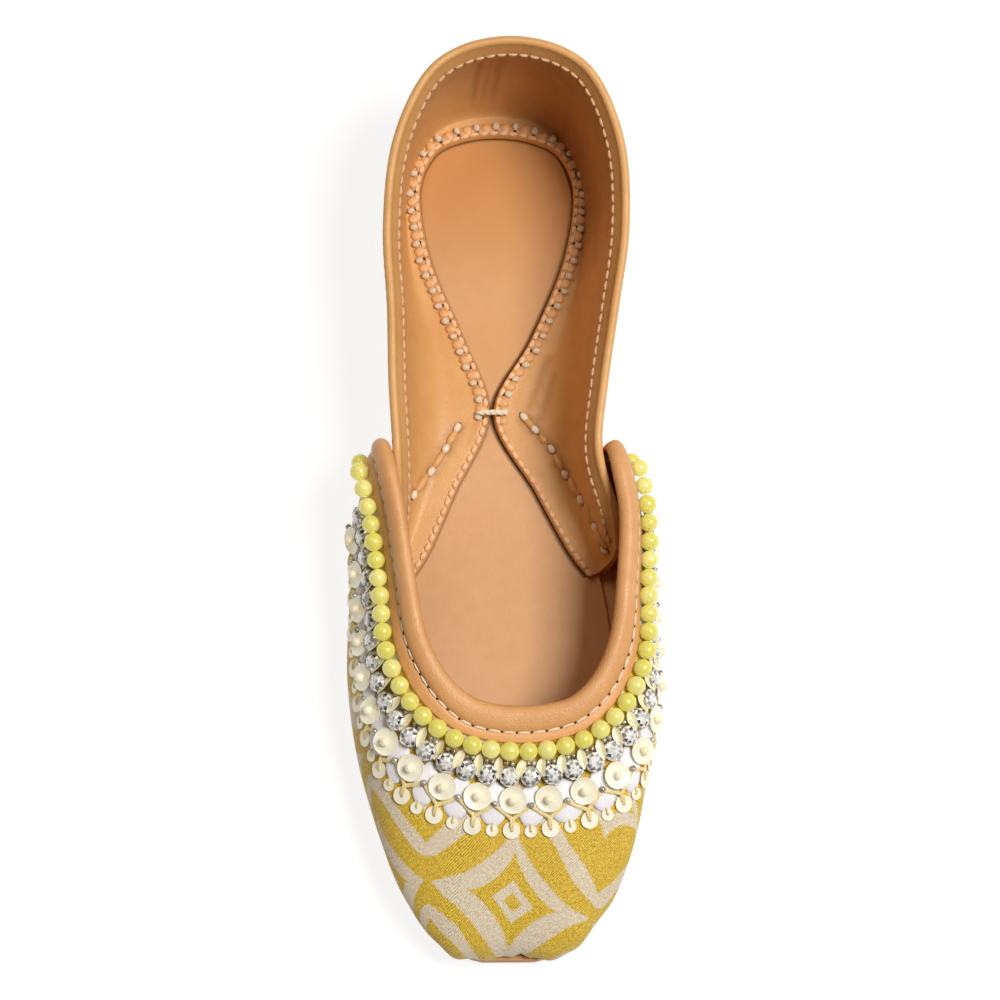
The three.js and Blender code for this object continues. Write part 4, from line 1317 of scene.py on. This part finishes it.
# painted reflections: each facet gets its own amount from dark to bright, a little varied
one_stone_painted_flash = CROWN_PAINTED_FLASH * 8 + BACK_PAINTED_FLASH * 16
facet_painted_flash = np.tile(one_stone_painted_flash, CRYSTAL_COUNT) + chance.normal(0, 0.2, len(crystals.data.polygons))
store(crystals, "tint_and_painted_light", np.clip(facet_painted_flash, 0.05, 1), "FACE")
glass, shade, surface = new_finish(
    "foiled_glass", {"Coat Weight": 0.6, "Coat Roughness": 0.03, "Metallic": 0.15}
)
tint_and_painted_light = shade.node("Attribute", {"attribute_name": "tint_and_painted_light"}, out="Fac")
painted_flash_noise = shade.noise(shade.node("TexCoord", out="Object"), 900, 2)
lay(
    surface,
    base_color=(tint_and_painted_light + (painted_flash_noise - 0.5) * 0.5).ease(0, 1).mix(PAINTED_FACET_DARK, PAINTED_FACET_BRIGHT),
    roughness=0.08 + painted_flash_noise * 0.1,
)
crystals.data.materials.append(glass)
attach(crystals, "root")
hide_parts("crystal_row")

cups = turned("silver_cups", CUP_PROFILE, crystal_seats, crystal_axis, crystal_across, 20)
silver, shade, surface = new_finish("silver_wire", {"Metallic": 0.45})
tarnish = shade.noise(shade.node("TexCoord", out="Object"), 700, 3)
lay(
    surface,
    base_color=tarnish.ease(0.35, 0.65).mix(SILVER_DULL, SILVER_BRIGHT),
    roughness=0.24 + (tarnish - 0.5) * 0.3,
)
cups.data.materials.append(silver)
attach(cups, "root")


# Leaf sequins and seed beads
# Between the beads and the crystals: cream sequins sewn on their edges so that each stands up
# like a leaf, with a pair of small silver seed beads over every crystal.
LEAF_DOWN = 14.0
LEAF_HALF_LONG, LEAF_HALF_WIDE = 2.95, 1.25
LEAF_SEAT = 2.1
LEAF_SKIN = 0.08
LEAF_CURL = 0.55
LEAF_RINGS, LEAF_HALF_RING = 15, 7
SEED_DOWN = 12.7
SEED_APART = 0.8
SEED_RADIUS = 0.74
leaf_steps = crystal_ladder[2:-1:2]
leaf_at, leaf_down, leaf_out = vamp_wall.spot(leaf_steps, LEAF_DOWN)
leaf_along = np.cross(leaf_down, leaf_out)
swing = np.radians(chance.normal(4, 7, len(leaf_steps)))[:, None]
lean = np.radians(chance.normal(18, 14, len(leaf_steps)))[:, None]
leaf_long = unit(leaf_down * np.cos(swing) + leaf_along * np.sin(swing) + leaf_out * 0.12)
leaf_face = unit(leaf_out * np.cos(lean) + leaf_along * np.sin(lean))
leaf_face = unit(leaf_face - leaf_long * (leaf_face * leaf_long).sum(axis=1, keepdims=True))
leaf_wide = np.cross(leaf_face, leaf_long)
leaf_share = np.linspace(-1, 1, LEAF_RINGS)
leaf_edge = np.maximum(0.03, (1 - leaf_share**2) ** 0.8 * (1 - 0.22 * leaf_share))
leaf_cross = np.concatenate([np.linspace(-1, 1, LEAF_HALF_RING), np.linspace(1, -1, LEAF_HALF_RING)])
leaf_skin = np.repeat([LEAF_SKIN, -LEAF_SKIN], LEAF_HALF_RING)
leaf_curl = leaf_skin + LEAF_CURL * leaf_edge[:, None] * np.abs(leaf_cross) ** 1.3
leaf_points = (
    (leaf_at + leaf_out * LEAF_SEAT)[:, None, None]
    + leaf_long[:, None, None] * (leaf_share * LEAF_HALF_LONG)[None, :, None, None]
    + leaf_wide[:, None, None] * (leaf_edge[:, None] * leaf_cross * LEAF_HALF_WIDE)[None, ..., None]
    + leaf_face[:, None, None] * leaf_curl[None, ..., None]
)
leaf_faces = repeated(loft_faces(*leaf_curl.shape), leaf_curl.size, len(leaf_steps))
leaves = add_piece("leaf_sequins", leaf_points, leaf_faces, 50)

seed_shape = bead_profile(SEED_RADIUS, 0.35, 8, 0.95)
seed_t = np.concatenate([crystal_steps, crystal_steps])
seed_side = np.repeat([-SEED_APART, SEED_APART], CRYSTAL_COUNT) + chance.normal(0, 0.1, 2 * CRYSTAL_COUNT)
seed_centres = beside(seed_t, SEED_DOWN, seed_side, chance.normal(0, 0.15, 2 * CRYSTAL_COUNT), 1.0)
_, seed_down, seed_out = vamp_wall.spot(seed_t, SEED_DOWN)
seeds = turned("silver_seeds", seed_shape, seed_centres, seed_down, np.cross(seed_down, seed_out), 12)


def shell(name, pale, deep):
    """Cream sequin film: a pearly gloss over faint clouds and flecks, a little light let through, and a
    faint painted light of its own that lifts its shaded side.
    """
    painted_glow = {"Emission Color": dye(244, 234, 204), "Emission Strength": 0.12}
    sheen = {"Coat Weight": 0.35, "Coat Roughness": 0.18}
    material, shade, surface = new_finish(name, {**sheen, **painted_glow, "Subsurface Weight": 0.1})
    where = shade.node("TexCoord", out="Object")
    cloud = shade.noise(where, 260)
    fleck = shade.noise(where, 1500, 2)
    lay(
        surface,
        base_color=(cloud * 0.7 + fleck * 0.3).ease(0.34, 0.66).mix(dye(*deep), dye(*pale)),
        roughness=0.34 + (cloud - 0.5) * 0.3,
        normal=shade.bump(fleck, 0.12, 0.0001),
    )
    return material


film = shell("sequin_film", (244, 240, 222), (236, 228, 200))
leaves.data.materials.append(shell("leaf_film", (240, 232, 194), (230, 216, 162)))
seeds.data.materials.append(silver)
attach(leaves, "root")
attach(seeds, "root")


# Sequin row
# Large cream cup sequins, each held down by a small pearl, with a silver seed bead in every
# space between two of them.
SEQUIN_SEAT = 1.65
PEARL_RADIUS = 1.2
JOINT_RADIUS = 0.86
JOINT_SEAT = 2.0
# radius, height: under the sequin, its rim, and its top
SEQUIN_PROFILE = (
    [(0.4, -0.2), (1.5, -0.12), (2.7, 0.06), (3.4, 0.2)]
    + [(3.66, 0.3), (3.75, 0.4), (3.68, 0.5), (3.5, 0.45)]
    + [(3.3, 0.34), (2.7, 0.22), (1.5, 0.04), (0.4, -0.04)]
)
sequin_at, sequin_down, sequin_out = vamp_wall.spot(sequin_steps, SEQUIN_DOWN)
sway = chance.normal(0, 0.07, (SEQUIN_COUNT, 2))
sequin_along = np.cross(sequin_down, sequin_out)
sequin_axis = unit(sequin_out + sequin_along * sway[:, :1] + sequin_down * sway[:, 1:])
sequin_across = unit(np.cross(sequin_axis, sequin_down))
sequin_seats = sequin_at + sequin_out * SEQUIN_SEAT
sequins = turned("cup_sequins", SEQUIN_PROFILE, sequin_seats, sequin_axis, sequin_across, 32)
sequins.data.materials.append(film)
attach(sequins, "root")
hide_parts("sequin_row")

pearl_shape = bead_profile(PEARL_RADIUS, 0.12, 11)
pearl_centres = sequin_seats + sequin_axis * (PEARL_RADIUS + 0.05)
pearls = turned("seed_pearls", pearl_shape, pearl_centres, sequin_axis, sequin_across, 16)
pearls.data.materials.append(shell("pearl_lustre", (250, 240, 214), (234, 216, 178)))
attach(pearls, "root")

joint_at, joint_down, joint_out = vamp_wall.spot(junctions, SEQUIN_DOWN + 1.3)
joint_along = np.cross(joint_down, joint_out)
joint_shape = bead_profile(JOINT_RADIUS, 0.35, 9)
joint_centres = joint_at + joint_out * JOINT_SEAT
joints = turned("silver_joint_beads", joint_shape, joint_centres, joint_along, joint_out, 14)
joints.data.materials.append(silver)
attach(joints, "root")


# Straw netting and drop sequins
# Flat straw-coloured thread runs from bead to bead in points, and from each point it holds a
# holed sequin that hangs on the cloth, with a smaller one under every petal.
NET_FROM_DOWN, NET_POINT_DOWN = 24.0, 27.7
DROP_DOWN = 30.6
SMALL_LOOP_DOWN, SMALL_DROP_DOWN = 28.9, 31.0
LOOP_MIDDLE = 28.0
NET_RADIUS, LOOP_RADIUS, SMALL_LOOP_RADIUS = 0.56, 0.36, 0.27
THREAD_STEPS = 9
# radius, height: under the sequin, its rim, and its top
DROP_PROFILE = [(0.5, 0.0), (1.4, -0.06), (2.2, 0.02), (2.36, 0.1), (2.36, 0.2), (2.2, 0.2)]
DROP_PROFILE += [(1.4, 0.12), (0.5, 0.18)]
SMALL_PROFILE = [(0.35, 0.0), (1.0, -0.05), (1.55, 0.02), (1.66, 0.09), (1.66, 0.17), (1.5, 0.17)]
SMALL_PROFILE += [(1.0, 0.1), (0.35, 0.15)]
share = np.linspace(0, 1, THREAD_STEPS)
arch = np.sin(np.pi * share)


def thread_outs(places):
    """The vamp's normal a little over half way up, for each thread at some places."""
    return vamp_wall.normal(places, np.full(places.shape, 0.6))[:, None]


net_from = np.stack([junctions[:-1], junctions[1:]], axis=1).reshape(-1, 1)
net_to = np.repeat(sequin_steps, 2)
net_steps = net_from + (net_to[:, None] - net_from) * share
net_down = NET_FROM_DOWN + (NET_POINT_DOWN - NET_FROM_DOWN) * share
net_paths = over_vamp(net_steps, net_down, 1.55 - 0.75 * share)
net = tubes("straw_net", net_paths, thread_outs(net_to), NET_RADIUS, 7, 0.55)

loop_side = np.tile([-0.35, 0.35], SEQUIN_COUNT)[:, None] * (1 - 0.6 * share)
loop_down = NET_POINT_DOWN - 0.4 + (DROP_DOWN - NET_POINT_DOWN + 0.5) * share
loop_out = 0.95 + 0.25 * arch - 0.5 * share**6
loop_paths = beside(net_to[:, None], LOOP_MIDDLE, loop_side, loop_down - LOOP_MIDDLE, loop_out)
loops = tubes("straw_loops", loop_paths, thread_outs(net_to), LOOP_RADIUS, 7, 0.7)

small_steps = junctions[1:-1]
small_down = SMALL_LOOP_DOWN + (SMALL_DROP_DOWN - SMALL_LOOP_DOWN + 0.2) * share
small_paths = over_vamp(small_steps[:, None], small_down, 0.8 + 0.15 * arch - 0.4 * share**6)
small_loops = tubes("straw_small_loops", small_paths, thread_outs(small_steps), SMALL_LOOP_RADIUS, 7, 0.8)
straw = cotton("straw_thread", (244, 226, 170), (218, 192, 128))
for piece in (net, loops, small_loops):
    piece.data.materials.append(straw)
    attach(piece, "root")

drop_at, drop_down, drop_out = vamp_wall.spot(sequin_steps, DROP_DOWN)
drop_tilt = unit(drop_out + np.cross(drop_down, drop_out) * chance.normal(0, 0.06, (SEQUIN_COUNT, 1)))
drops = turned("drop_sequins", DROP_PROFILE, drop_at + drop_out * 0.5, drop_tilt, drop_down, 26)
small_at, small_across, small_out = vamp_wall.spot(small_steps, SMALL_DROP_DOWN)
small_seats = small_at + small_out * 0.4
small_drops = turned("small_drop_sequins", SMALL_PROFILE, small_seats, small_out, small_across, 22)
for piece in (drops, small_drops):
    piece.data.materials.append(film)
    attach(piece, "root")


# Studio
# A pale paper floor under a broad soft lamp high on the right, with a weak warm lamp at the back
# on the left and a dim warm surround, and a camera above the toe that looks down on the shoe.
PAPER_COLOURS = dye(128, 128, 127), dye(134, 134, 133)
KEY_AT, KEY_POWER = (0.48, -0.04, 1.15), 15.5
FILL_AT, FILL_POWER, FILL_COLOUR = (-0.4, 0.5, 1.0), 2.5, (1, 0.86, 0.7)
LAMP_SIZE = 0.5
SURROUND_COLOUR, SURROUND_STRENGTH = (1, 0.88, 0.74, 1), 0.06
CAMERA_AT = Vector((-0.0452, -0.24, 0.9697))
CAMERA_AIM = Vector((0.045, 0.245489, -0.969412))
CAMERA_LENS = 128
bpy.ops.mesh.primitive_plane_add(size=6)
floor = bpy.context.object
floor.name = "floor"
paper, shade, surface = new_finish(
    "pale_paper",
    {"Specular IOR Level": 0.1, "Emission Color": (1, 1, 1, 1), "Emission Strength": 0.85},
)
tooth = shade.noise(shade.node("TexCoord", out="Object"), 300, 2)
lay(surface, base_color=tooth.mix(*PAPER_COLOURS), roughness=0.9 + (tooth - 0.5) * 0.1)
floor.data.materials.append(paper)


def softbox(name, at, power, colour):
    """A square lamp that faces the shoe."""
    lamp = bpy.data.lights.new(name, "AREA")
    lamp.size = LAMP_SIZE
    lamp.energy = power
    lamp.color = colour
    box = bpy.data.objects.new(name, lamp)
    box.location = at
    box.rotation_euler = (Vector((0, 0, 0.02)) - box.location).to_track_quat("-Z", "Y").to_euler()
    bpy.context.scene.collection.objects.link(box)


softbox("key_softbox", KEY_AT, KEY_POWER, (1, 1, 1))
softbox("fill_softbox", FILL_AT, FILL_POWER, FILL_COLOUR)
surround = bpy.data.worlds.new("warm_surround")
surround.use_nodes = True
surround.node_tree.nodes["Background"].inputs["Color"].default_value = SURROUND_COLOUR
surround.node_tree.nodes["Background"].inputs["Strength"].default_value = SURROUND_STRENGTH
bpy.context.scene.world = surround
bpy.context.scene.view_settings.view_transform = "Standard"

forward = CAMERA_AIM.normalized()
right = (Vector((1, 0, 0)) - forward * forward.x).normalized()
upward = right.cross(forward)
lens = bpy.data.cameras.new("camera")
lens.lens = CAMERA_LENS
camera = bpy.data.objects.new("camera", lens)
camera.matrix_world = Matrix(
    [
        (right.x, upward.x, -forward.x, CAMERA_AT.x),
        (right.y, upward.y, -forward.y, CAMERA_AT.y),
        (right.z, upward.z, -forward.z, CAMERA_AT.z),
        (0, 0, 0, 1),
    ]
)
bpy.context.scene.collection.objects.link(camera)
bpy.context.scene.camera = camera
